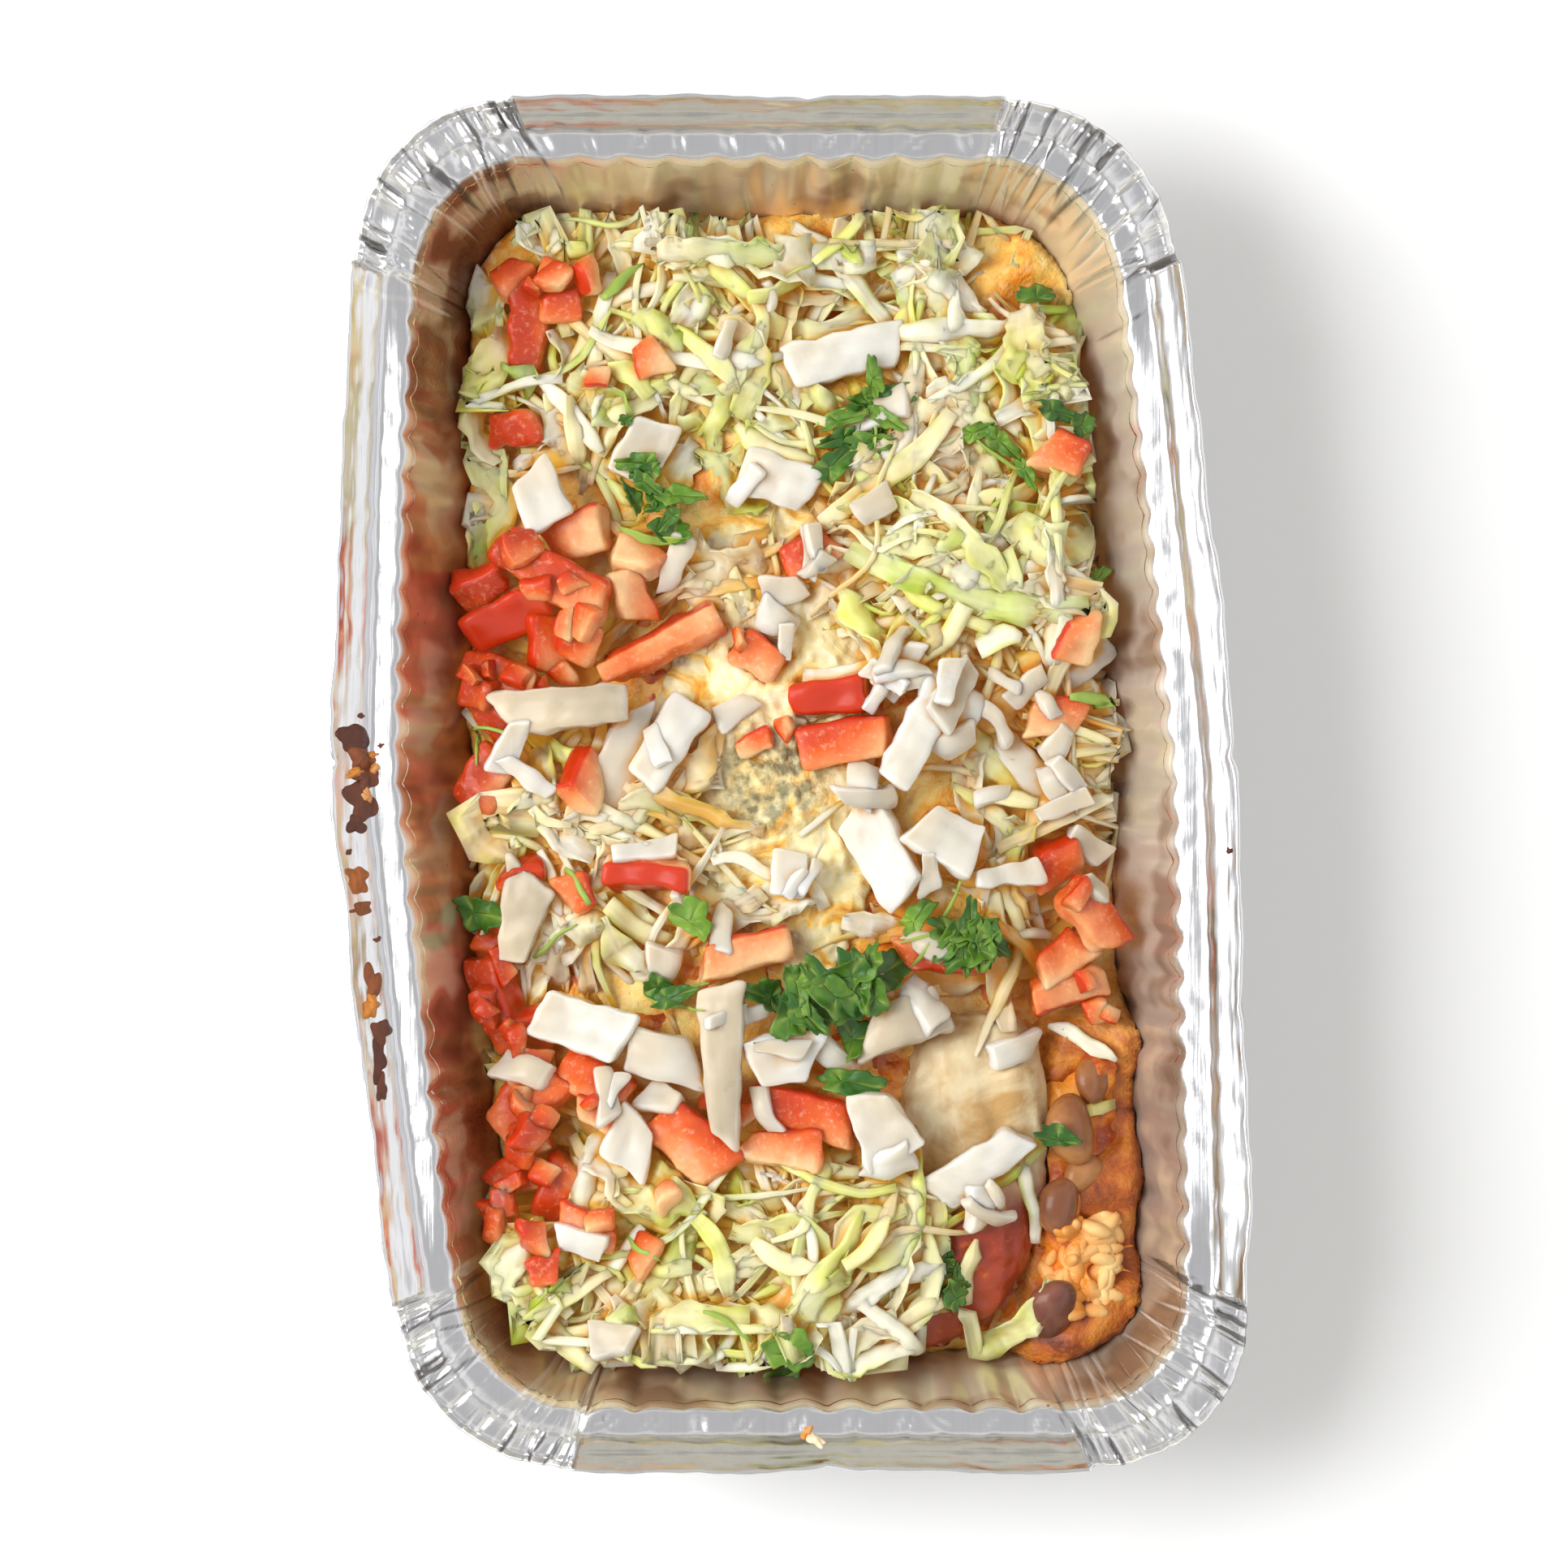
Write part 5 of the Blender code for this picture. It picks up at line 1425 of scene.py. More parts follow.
def leaf_finish(props):
    """Coriander: deep green when old and bright when young, lighter along its veins."""
    finish = Finish("coriander", coat_weight=0.3)
    vein = finish.attribute("vein")
    age = finish.attribute("age")
    patch = finish.noise(190.0, 3.0)
    young = finish.mask(patch + 0.5 * age, 0.95, 0.45)
    colour = finish.mix(young, props.coriander_dark, props.coriander_light)
    finish.set("Base Color", finish.mix(0.6 * vein, colour, seen(158, 178, 82)))
    finish.set("Roughness", 0.28 + 0.2 * patch)
    finish.bump(patch - 0.6 * vein, 0.0005)
    return finish.material


LEAF_ROUND = 54
LEAF_RINGS = 7


class Leaf(NamedTuple):
    """A leaf: its middle, half length and half width in mm, its turn in degrees and its age, young at 0."""

    x: float
    y: float
    half_length: float
    half_width: float
    turn: float
    age: float


LEAVES = (
    Leaf(27, -25, 5.5, 3.0, -25, 0.9), Leaf(33, -26, 4.5, 2.4, -40, 1.0), Leaf(21, -22, 4.0, 2.2, 50, 0.4),
    Leaf(10, -35, 6.0, 4.0, 15, 1.0), Leaf(16, -31, 5.0, 4.0, 40, 1.0), Leaf(4, -38, 4.0, 3.0, -20, 0.9),
    Leaf(-4, -35, 4.5, 3.0, 160, 0.8), Leaf(11, -42, 3.0, 4.5, 10, 0.7), Leaf(-21, -34, 4.0, 2.4, -30, 0.9),
    Leaf(10, -49, 6.0, 2.6, -5, 0.9), Leaf(-51, -21.5, 5.2, 3.4, -10, 0.9),
    Leaf(-16, -22, 3.4, 4.4, 60, 0.3), Leaf(-19, -35, 4.5, 2.0, 20, 0.9), Leaf(0, -92, 3.6, 4.6, 80, 0.4),
    Leaf(-1, -98, 3.4, 3.0, 30, 0.6), Leaf(35, 56, 4.2, 1.8, -40, 0.4), Leaf(31, 58, 3.4, 1.6, 20, 0.3),
    Leaf(39, 51, 3.2, 1.5, -60, 0.3), Leaf(44, 61, 4.0, 1.8, -20, 1.0), Leaf(48, 59, 2.6, 2.0, 60, 0.9),
    Leaf(41, 81, 2.4, 3.4, 80, 0.8), Leaf(9, 60, 4.4, 1.6, 15, 0.5), Leaf(16, 60, 4.0, 1.6, -30, 0.4),
    Leaf(14, 67, 1.6, 4.0, 5, 0.5), Leaf(51, 34, 2.8, 1.6, 50, 0.5), Leaf(-27, 60, 1.4, 1.2, 30, 0.5),
    Leaf(-19, 41, 2.6, 3.8, 70, 0.7), Leaf(27, -84, 3.0, 2.4, 110, 0.8), Leaf(44, -58, 2.0, 4.0, 80, 1.0),
)


STALKS = (
    Strip(-23, -37, -13, -33, 0.8, 1.3, "green"), Strip(-24, -35, -14, -37, -0.8, 1.1, "green"),
    Strip(18, -26, 36, -26, 1.2, 1.0, "green"), Strip(19, -31, 28, -16, -1.0, 1.1, "green"),
    Strip(-60, 3, -46, 8, 3.2, 1.0, "green"), Strip(-60, 3, -58, 8, 0.8, 0.8, "green"),
    Strip(-37, -14, -33, -20, 0.5, 1.6, "green"), Strip(-42, -29, -35, -23, 0.4, 1.2, "green"),
    Strip(12, 66, 14, 54, 0.8, 1.0, "green"), Strip(4, 59, 13, 63, 0.6, 0.9, "green"),
    Strip(30, 58, 42, 50, -1.2, 1.0, "green"), Strip(-28, 42, -17, 40, -0.8, 2.6, "green"),
    Strip(-31, 80, -24, 86, 0.4, 3.2, "green"), Strip(46, 14, 56, 12, 1.0, 3.0, "green"),
    Strip(-21, -78, -27, -74, 0.6, 1.4, "green"), Strip(-14, -86, -6, -91, 0.5, 1.4, "green"),
)


def leaf_blade(half_length, half_width, seed):
    """A lobed, crumpled leaf about the origin, in mm: points, faces, and how near a vein each is."""
    dice = np.random.default_rng(seed)
    around = np.linspace(0, 2 * math.pi, LEAF_ROUND, endpoint=False)
    lobes = 0.66 + 0.34 * np.abs(np.cos(1.5 * around + 0.5 * dice.uniform(-1, 1))) ** 0.8
    teeth = 0.09 * np.sin(7 * around + dice.uniform(0, 6))
    lobes *= 1 + teeth + 0.04 * np.sin(13 * around + dice.uniform(0, 6))
    off = (around + math.pi / 3) % (2 * math.pi / 3) - math.pi / 3
    crease = np.exp(-(off**2) / 0.03)
    points, vein = [], []
    for side in (1, -1):
        for ring in range(LEAF_RINGS, -1, -1):
            share = ring / LEAF_RINGS
            u = half_length * (share * lobes * np.cos(around) - 0.25 * (1 - share))
            v = half_width * share * lobes * np.sin(around)
            flat = np.stack([u, v, 0 * u], axis=1)
            up = 0.26 * half_width * share * ripples(flat, 2.0 * half_width, seed + 1)
            up += 0.09 * half_width * ripples(flat, 0.9 * half_width, seed + 2) * share
            up += 0.28 * np.abs(v) * share - 0.25 * crease * share + side * 0.13
            points.append(np.stack([u, v, up], axis=1))
            vein.append(crease * (1 - 0.5 * share))
    return np.concatenate(points), shell_faces(LEAF_RINGS + 1, LEAF_ROUND), np.concatenate(vein)


def build_coriander(props):
    """Sprigs of leaves in place of the CAD nodes, then the smaller leaves and the stalks."""
    material = leaf_finish(props)
    relief = Relief(FOOD_FLOOR, food_so_far())
    for k, node in enumerate(sorted(n for n in frame["nodes"] if n.startswith("coriander_"))):
        centre, axes, half = extent(node)
        foliage = Heap()
        dice = np.random.default_rng(900 + k)
        for n in range(8):
            spot = half * np.array([0.70, 0.62, 0.25]) * dice.uniform(-1, 1, 3)
            turn, tilt = dice.uniform(0, 2 * math.pi), dice.normal(0, 0.35)
            along = math.cos(turn) * axes[0] + math.sin(turn) * axes[1]
            across = np.cross(axes[2], along)
            over = math.cos(tilt) * axes[2] + math.sin(tilt) * across
            sprig = np.stack([along, np.cross(over, along), over])
            size = half[0] * dice.uniform(0.34, 0.54)
            points, faces, vein = leaf_blade(size, 0.46 * size, 910 + 20 * k + n)
            place = centre + spot @ axes + points @ sprig
            foliage.gather(place, faces, vein=vein, age=dice.uniform(0.5, 1.0))
        settle(foliage.piece(node + "_leaf", material, tidy=True), "coriander", node)
    foliage = Heap()
    for k, leaf in enumerate(LEAVES):
        dice = np.random.default_rng(930 + k)
        turn = math.radians(leaf.turn)
        level, axes = relief.bed_for(leaf.x, leaf.y, leaf.half_length, leaf.half_width, turn)
        centre = np.array([leaf.x, leaf.y, level + 0.5 + 0.3 * dice.uniform()])
        points, faces, vein = leaf_blade(leaf.half_length, leaf.half_width, 960 + 5 * k)
        foliage.gather(centre + points @ axes, faces, vein=vein, age=leaf.age)
    settle(foliage.piece("coriander_loose", material, tidy=True), "coriander")
    stalks = Salad(relief, relief.height < 0)
    stalks.ribbons = Ribbons()
    dice = np.random.default_rng(63)
    for stalk in STALKS:
        style = Style(0.62 * stalk.width, 0.5 * min(stalk.width, 1.4), stalk.bow, 0.2, 0.0)
        ends = (stalk.x0, stalk.y0), (stalk.x1, stalk.y1)
        stalks.lay(*ends, style, (stalk.tint, stalk.tint), dice, free=False)
    piece = stalks.ribbons.piece("coriander_stalks", material)
    with_attribute(piece, "vein", np.full(stalks.ribbons.count, 1.1))
    with_attribute(piece, "age", np.zeros(stalks.ribbons.count))
    settle(piece, "coriander")


def soak_food(props):
    """Marks how deep each point lies under the top of the food, where the materials show sauce and painted
    shade.
    """
    soaking = [o for o in food_so_far() if o["meal_food"] in ("lettuce", "onion", "tomato")]
    top = Relief(FOOD_FLOOR, food_so_far())
    top.soften(props.soak_shade_reach)
    for obj in soaking:
        points, _ = points_of(obj)
        deep = top.at(points[:, 0], points[:, 1]) - points[:, 2]
        with_attribute(obj, "deep", np.clip(deep / (props.soak_shade_depth / MM), 0, 1))


def sauce_finish(props):
    """Sauced tortilla under cheese: orange, brown and red, glossy, spotted with painted glints."""
    finish = Finish("sauce", coat_weight=0.5)
    cloud = finish.noise(75.0, 5.0, 0.6, distortion=0.8)
    fine = finish.noise(330.0, 3.0, 0.6)
    colour = finish.ramp(
        0.75 * cloud + 0.25 * fine,
        (0.30, seen(120, 46, 20)),
        (0.42, props.sauce_red),
        (0.51, props.sauce_orange),
        (0.62, seen(234, 164, 66)),
        (0.74, seen(238, 196, 110)),
    )
    # Painted glints: pale spots in the colour.
    glint = finish.mask(finish.noise(420.0, 4.0, 0.65), 0.56, 0.70)
    finish.set("Base Color", finish.mix(0.35 * glint, colour, seen(250, 214, 150)))
    finish.set("Roughness", 0.22 + 0.35 * fine)
    finish.bump(cloud + 0.6 * fine, 0.0010)
    return finish.material


def roll_finish():
    """The rolled end: a pale tortilla with melted cheese at its far half, deep red sauce at its near half."""
    finish = Finish("tortilla", coat_weight=0.35)
    y = finish.split(finish.place())[1]
    cloud = finish.noise(60.0, 4.0, 0.6, distortion=0.5)
    fine = finish.noise(400.0, 3.0, 0.6)
    sauce = finish.mask(y + 0.02 * cloud, -0.052, -0.062)
    pale = finish.mix(finish.mask(cloud, 0.42, 0.58), seen(218, 200, 160), seen(186, 146, 88))
    red = finish.mix(finish.mask(cloud, 0.40, 0.62), seen(140, 44, 24), seen(172, 66, 32))
    red = finish.mix(0.6 * finish.mask(fine, 0.60, 0.72), red, seen(206, 110, 44))
    finish.set("Base Color", finish.mix(sauce, pale, red))
    finish.set("Roughness", 0.30 + 0.25 * fine)
    finish.bump(cloud + 0.3 * fine, 0.0008)
    return finish.material


def cheese_finish(props):
    """Melted cheese: cream and orange marbled together, with a furry grey-green spot near its middle."""
    finish = Finish(
        "cheese", coat_weight=0.4, subsurface_weight=0.4, subsurface_scale=0.004,
        subsurface_radius=(1.0, 0.7, 0.3)
    )
    x, y = finish.split(finish.place())[:2]
    swirl = finish.noise(85.0, 5.0, 0.55, distortion=2.2)
    fine = finish.noise(520.0, 2.0)
    colour = finish.ramp(
        swirl,
        (0.28, seen(206, 118, 36)),
        (0.38, props.cheese_orange),
        (0.48, props.cheese_cream),
        (0.64, seen(246, 234, 196)),
    )
    far = ((x + 0.0035) * (x + 0.0035) + (y - 0.001) * (y - 0.001)) ** 0.5
    spot = finish.mask(far + 0.012 * swirl, 0.0185, 0.0115) * finish.mask(fine, 0.30, 0.62)
    finish.set("Base Color", finish.mix(0.9 * spot, colour, seen(116, 114, 84)))
    finish.set("Roughness", 0.24 + 0.25 * fine + 0.4 * spot)
    finish.bump(swirl + 0.3 * fine + 0.5 * spot * fine, 0.0009)
    return finish.material


def build_enchiladas(props):
    bed = copied("enchilada_bed_sauced", "enchilada_bed", 1.0)
    points, normals = points_of(bed)
    top = smooth_step(12, 16, points[:, 2])
    push = (0.6 * ripples(points, 9, 21) + 0.35 * ripples(points, 3, 22, 16)) * top - 0.3 * top
    move_points(bed, points + normals * push[:, None])
    bed.data.materials.append(sauce_finish(props))
    settle(bed, "enchilada", "enchilada_bed")
    roll = copied("enchilada_roll_sauced", "enchilada_roll", 0.6)
    points, normals = points_of(roll)
    push = 0.5 * ripples(points, 11, 23) + 0.2 * ripples(points, 3.5, 24)
    move_points(roll, points + normals * push[:, None])
    roll.data.materials.append(roll_finish())
    settle(roll, "enchilada", "enchilada_roll")


def build_cheese(props):
    cheese = copied("melted_cheese_skin", "melted_cheese", 0.55)
    points, normals = points_of(cheese)
    push = 0.55 * ripples(points, 8, 31) + 0.3 * ripples(points, 2.8, 32, 16)
    move_points(cheese, points + normals * push[:, None])
    cheese.data.materials.append(cheese_finish(props))
    settle(cheese, "cheese", "melted_cheese")


RICE_PLACE = (51.0, -80.0, 10.5)  # middle and radius of the rice, in mm


class Bean(NamedTuple):
    """A bean: its place and size in mm, its turn in degrees, and its tone, mauve at 0 and tan at 1."""

    x: float
    y: float
    length: float
    width: float
    lift: float
    turn: float
    tone: float


BEANS = (
    Bean(44, -87, 11.0, 8.0, 0.5, 70, 0.15), Bean(47, -57, 12.0, 8.0, 0.5, 100, 1.0),
    Bean(45, -70, 10.0, 7.0, -0.6, 80, 0.6), Bean(51, -49, 9.0, 6.5, -0.8, 70, 0.8),
    Bean(49, -65, 8.0, 6.0, -1.2, 30, 0.9), Bean(-24, 84, 9.5, 7.0, 0.6, 40, 0.1),
    Bean(-32, -86, 10.0, 7.5, 0.6, 30, 0.1), Bean(-17, -93, 11.0, 7.5, 1.0, 10, 0.0),
    Bean(-9, -95, 9.5, 7.0, 1.0, -15, 0.0), Bean(2, -96, 8.5, 6.5, 0.5, 20, 0.1),
)


SCATTER_INPUTS = {
    "Geometry": "Geometry",
    "Thing": "Object",
    "Per area": "Float",
    "Seed": "Int",
    "Least": "Float",
    "Most": "Float",
}
SCATTER_NODES = {
    "in": "NodeGroupInput",
    "mark": "GeometryNodeInputNamedAttribute",
    "many": "ShaderNodeMath",
    "spots": "GeometryNodeDistributePointsOnFaces",
    "thing": "GeometryNodeObjectInfo",
    "turn": "FunctionNodeRandomValue",
    "size": "FunctionNodeRandomValue",
    "spin": "FunctionNodeEulerToRotation",
    "lay": "FunctionNodeRotateRotation",
    "put": "GeometryNodeInstanceOnPoints",
    "real": "GeometryNodeRealizeInstances",
    "paint": "GeometryNodeSetMaterial",
    "out": "NodeGroupOutput",
}
SCATTER_LINKS = (
    ("in", "Geometry", "spots", "Mesh"),
    ("mark", "Attribute", "many", 0),
    ("in", "Per area", "many", 1),
    ("many", 0, "spots", "Density"),
    ("in", "Seed", "spots", "Seed"),
    ("in", "Thing", "thing", "Object"),
    ("spots", "Points", "put", "Points"),
    ("thing", "Geometry", "put", "Instance"),
    ("turn", 0, "spin", 0),
    ("spots", "Rotation", "lay", 0),
    ("spin", 0, "lay", 1),
    ("lay", 0, "put", "Rotation"),
    ("in", "Least", "size", 2),
    ("in", "Most", "size", 3),
    ("size", 1, "put", "Scale"),
    ("put", 0, "real", 0),
    ("real", 0, "paint", "Geometry"),
    ("paint", 0, "out", 0),
)


def scattered(name, surface, thing, material, per_area, seed, sizes):
    """A mesh of the thing strewn over a surface's marked parts by Geometry Nodes, lying at random turns."""
    tree = bpy.data.node_groups.new(name, "GeometryNodeTree")
    sockets = {}
    for label, kind in SCATTER_INPUTS.items():
        made = tree.interface.new_socket(label, in_out="INPUT", socket_type="NodeSocket" + kind)
        sockets[label] = made.identifier
    tree.interface.new_socket("Geometry", in_out="OUTPUT", socket_type="NodeSocketGeometry")
    node = {key: tree.nodes.new(kind) for key, kind in SCATTER_NODES.items()}
    node["mark"].inputs["Name"].default_value = "mark"
    node["many"].operation = "MULTIPLY"
    node["turn"].data_type = "FLOAT_VECTOR"
    node["turn"].inputs[0].default_value = (-0.2, -0.2, 0.0)
    node["turn"].inputs[1].default_value = (0.2, 0.2, 2 * math.pi)
    node["paint"].inputs["Material"].default_value = material
    node["lay"].rotation_space = "LOCAL"
    for source, output, target, socket in SCATTER_LINKS:
        tree.links.new(node[source].outputs[output], node[target].inputs[socket])
    host = bpy.data.objects.new(name, surface.data.copy())
    bpy.context.scene.collection.objects.link(host)
    modifier = host.modifiers.new("scatter", "NODES")
    modifier.node_group = tree
    values = {"Thing": thing, "Per area": per_area, "Seed": seed, "Least": sizes[0], "Most": sizes[1]}
    for label, value in values.items():
        modifier[sockets[label]] = value
    mesh = bpy.data.meshes.new_from_object(host.evaluated_get(bpy.context.evaluated_depsgraph_get()))
    host.modifiers.remove(modifier)
    host.data = mesh
    mesh.polygons.foreach_set("use_smooth", [True] * len(mesh.polygons))
    bpy.data.objects.remove(thing)
    return host


def pellet(half, bend, columns=14, rows=8):
    """Points and faces of a bean or a grain of rice about the origin, half sizes in mm, bowed by bend."""
    turns = np.arange(columns) * 2 * math.pi / columns
    polar, turn = np.meshgrid(np.linspace(0, math.pi, rows + 1), turns, indexing="ij")
    x = np.cos(polar)
    y, z = np.sin(polar) * np.cos(turn), np.sin(polar) * np.sin(turn)
    points = np.stack([half[0] * x, half[1] * y + bend * (1 - x * x), half[2] * z], axis=2)
    return points.reshape(-1, 3), ring_faces(rows + 1, columns)


def rice_finish():
    finish = Finish("rice", coat_weight=0.3)
    cloud = finish.noise(140.0, 2.0)
    colour = finish.mix(finish.mask(cloud, 0.35, 0.6), seen(246, 208, 140), seen(228, 146, 58))
    finish.set("Base Color", colour)
    finish.set("Roughness", 0.28 + 0.2 * cloud)
    finish.bump(finish.noise(900.0), 0.0001)
    return finish.material


def bean_finish():
    finish = Finish("bean", coat_weight=0.5)
    cloud = finish.noise(120.0, 3.0)
    tone = finish.attribute("tone")
    mauve = finish.mix(finish.mask(cloud, 0.4, 0.65), seen(96, 50, 44), seen(138, 84, 70))
    tan = finish.mix(finish.mask(cloud, 0.4, 0.65), seen(140, 84, 44), seen(186, 128, 70))
    finish.set("Base Color", finish.mix(tone, mauve, tan))
    finish.set("Roughness", 0.2 + 0.2 * cloud)
    finish.bump(cloud, 0.0004)
    return finish.material


def build_side_dish(props):
    """Sauced beans and rice in the near right corner, and the beans that show among the lettuce."""
    core = copied("beans_and_rice_core", "beans_and_rice", 0.5, 6)
    points, normals = points_of(core)
    push = 0.25 * ripples(points, 4, 51) - 0.3
    move_points(core, points + normals * push[:, None])
    near = np.hypot(points[:, 0] - RICE_PLACE[0], points[:, 1] - RICE_PLACE[1])
    riced = 1 - smooth_step(0.75 * RICE_PLACE[2], RICE_PLACE[2], near)
    with_attribute(core, "mark", riced * (normals[:, 2] > 0.1))
    core.data.materials.append(sauce_finish(props))
    grain = mesh_piece("grain", *pellet((2.7, 1.25, 1.2), 0.3), None)
    tidy_skin(grain)
    rice = scattered("rice_grains", core, grain, rice_finish(), props.rice_per_area, 5, (0.75, 1.15))
    move_points(rice, points_of(rice)[0])
    settle(core, "beans_rice", "beans_and_rice")
    settle(rice, "beans_rice")
    relief = Relief(14.0, [frame["nodes"][n] for n in ("enchilada_bed", "beans_and_rice", "lettuce_south")])
    beans = Heap()
    for bean in BEANS:
        points, faces = pellet((bean.length / 2, bean.width / 2, 0.36 * bean.width), 0.9, 20, 12)
        turn = math.radians(bean.turn)
        level, axes = relief.bed_for(bean.x, bean.y, bean.length / 2, bean.width / 2, turn)
        place = np.array([bean.x, bean.y, level + bean.lift])
        beans.gather(place + points @ axes, faces, tone=bean.tone)
    settle(beans.piece("beans", bean_finish(), tidy=True), "beans_rice")


FLOOR_HALF = 900.0  # mm
FLOOR_DROP = -0.15  # just under the tray, in mm
SENSOR_WIDTH = 36.0
CAMERA_HEIGHT = 1.0  # above the tray's rim, in metres
# How bright the room is at each share of the way up, level at 0 and straight above at 1.
ROOM_BANDS = ((0.0, 0.95), (0.30, 1.05), (0.48, 0.45), (0.62, 0.95), (0.84, 1.0), (0.96, 0.60), (1.0, 0.62))


class Stain(NamedTuple):
    """A baked-on spot on the foil: its place and size in mm, its turn, and its tone, brown to orange."""

    x: float
    y: float
    half_x: float
    half_y: float
    thickness: float
    turn: float
    tone: float


STAINS = (
    Stain(-71.2, 7.6, 2.4, 2.6, 0.5, 0, 0.0), Stain(-70.0, 4.2, 2.2, 2.0, 0.7, 20, 0.3),
    Stain(-69.3, 0.8, 2.6, 2.2, 0.5, 0, 0.15), Stain(-70.0, -3.4, 2.3, 3.0, 0.4, 10, 0.1),
    Stain(-70.6, -6.6, 1.5, 1.6, 0.3, 0, 0.0), Stain(-67.8, 2.4, 1.2, 0.7, 0.7, 60, 1.0),
    Stain(-70.8, 1.8, 1.3, 0.8, 0.9, 20, 1.0), Stain(-69.2, -2.0, 1.4, 0.8, 0.9, 110, 1.0),
    Stain(-68.3, 4.6, 1.1, 0.6, 0.7, 10, 0.9), Stain(-70.2, -15.6, 1.5, 1.9, 0.5, 10, 0.6),
    Stain(-69.6, -20.4, 1.8, 1.0, 0.4, 10, 0.35), Stain(-67.8, -32.6, 1.2, 2.6, 0.5, 5, 0.35),
    Stain(-68.0, -36.0, 1.2, 1.9, 0.9, 0, 0.9), Stain(-66.6, -40.6, 1.4, 2.0, 0.4, 0, 0.1),
    Stain(-66.8, -44.6, 1.2, 3.2, 0.3, -5, 0.0), Stain(-66.4, -49.6, 0.9, 1.8, 0.3, 0, 0.1),
    Stain(-69.8, 11.0, 0.5, 0.5, 0.3, 0, 0.1), Stain(-66.8, 6.2, 0.5, 0.4, 0.3, 0, 0.1),
    Stain(-71.6, -11.2, 0.4, 0.5, 0.3, 0, 0.1), Stain(-67.2, -25.4, 0.5, 0.5, 0.3, 0, 0.1),
    Stain(71.4, -10.9, 0.4, 0.5, 0.3, 0, 0.0), Stain(3.0, -106.0, 1.3, 0.9, 0.7, 60, 1.0),
    Stain(4.2, -107.0, 1.8, 0.9, 0.6, -20, 1.25),
)
STAIN_ROUND = 40
STAIN_RINGS = 8


def stain_finish():
    """Burnt sauce, from nearly black brown to orange grains, with a pale crumb."""
    finish = Finish("stain", coat_weight=0.3)
    tone = finish.attribute("tone")
    cloud = finish.noise(480.0, 3.0, 0.6)
    value = 0.8 * tone + 0.35 * (cloud - 0.5)
    colour = finish.ramp(
        value,
        (0.0, seen(86, 38, 22)),
        (0.22, seen(128, 66, 32)),
        (0.52, seen(176, 98, 36)),
        (0.80, seen(214, 138, 50)),
        (1.0, seen(238, 222, 190)),
    )
    finish.set("Base Color", colour)
    finish.set("Roughness", 0.35 + 0.35 * cloud)
    finish.bump(cloud, 0.0004)
    return finish.material


def build_stains(props):
    """Thin crusts that follow the foil under them."""
    tray = next(o for o in bpy.context.scene.objects if o.name.startswith("foil_tray_skin"))
    tree = BVHTree.FromObject(tray, bpy.context.evaluated_depsgraph_get())
    around = np.linspace(0, 2 * math.pi, STAIN_ROUND, endpoint=False)
    circle = np.stack([np.cos(around), np.sin(around), 0 * around], 1)
    crusts = Heap(in_tray=False)
    for k, stain in enumerate(STAINS):
        turn = math.radians(stain.turn)
        oval = circle * (1 + 0.30 * ripples(circle, 1.3, 80 + k))[:, None] * (stain.half_x, stain.half_y, 0)
        x = oval[:, 0] * math.cos(turn) - oval[:, 1] * math.sin(turn)
        y = oval[:, 0] * math.sin(turn) + oval[:, 1] * math.cos(turn)
        points = []
        for side in (1, 0):
            for ring in range(STAIN_RINGS, -1, -1):
                share = ring / STAIN_RINGS
                rise = stain.thickness * (1 - share**2) * side + (0.05 if side else -0.15)
                for spot in np.stack([stain.x + share * x, stain.y + share * y], 1) * MM:
                    hit, normal = tree.ray_cast(Vector((*spot, 0.1)), Vector((0, 0, -1)))[:2]
                    ground = np.array(hit or (*spot, SHOULDER_HEIGHT * MM)) / MM
                    points.append(ground + rise * np.array(normal or (0, 0, 1)))
        crusts.gather(points, shell_faces(STAIN_RINGS + 1, STAIN_ROUND), tone=stain.tone)
    settle(crusts.piece("stains", stain_finish(), tidy=True), "foil")


def world_light(strength):
    """A grey room in bands for the foil to mirror, darker overhead, to the left and at both ends."""
    studio = Finish("studio", "worlds", "Background")
    bpy.context.scene.world = studio.material
    x, y, up = studio.split(studio.add("ShaderNodeTexCoord"))
    bands = studio.ramp(up, *((share, (grey, grey, grey)) for share, grey in ROOM_BANDS))
    studio.set("Color", studio.mix(y * y, bands, (0.66, 0.63, 0.52), "MULTIPLY"))
    studio.set("Strength", strength * (1.0 + 0.22 * x))


def area_light(name, place, size, power, mirrored=True, aim=(0, 0, 0.03)):
    data = bpy.data.lights.new(name, "AREA")
    data.shape = "RECTANGLE"
    data.size, data.size_y = size
    data.energy = power
    light = bpy.data.objects.new(name, data)
    light.location = place
    light.rotation_euler = (Vector(aim) - Vector(place)).to_track_quat("-Z", "Y").to_euler()
    light.visible_glossy = mirrored
    bpy.context.scene.collection.objects.link(light)


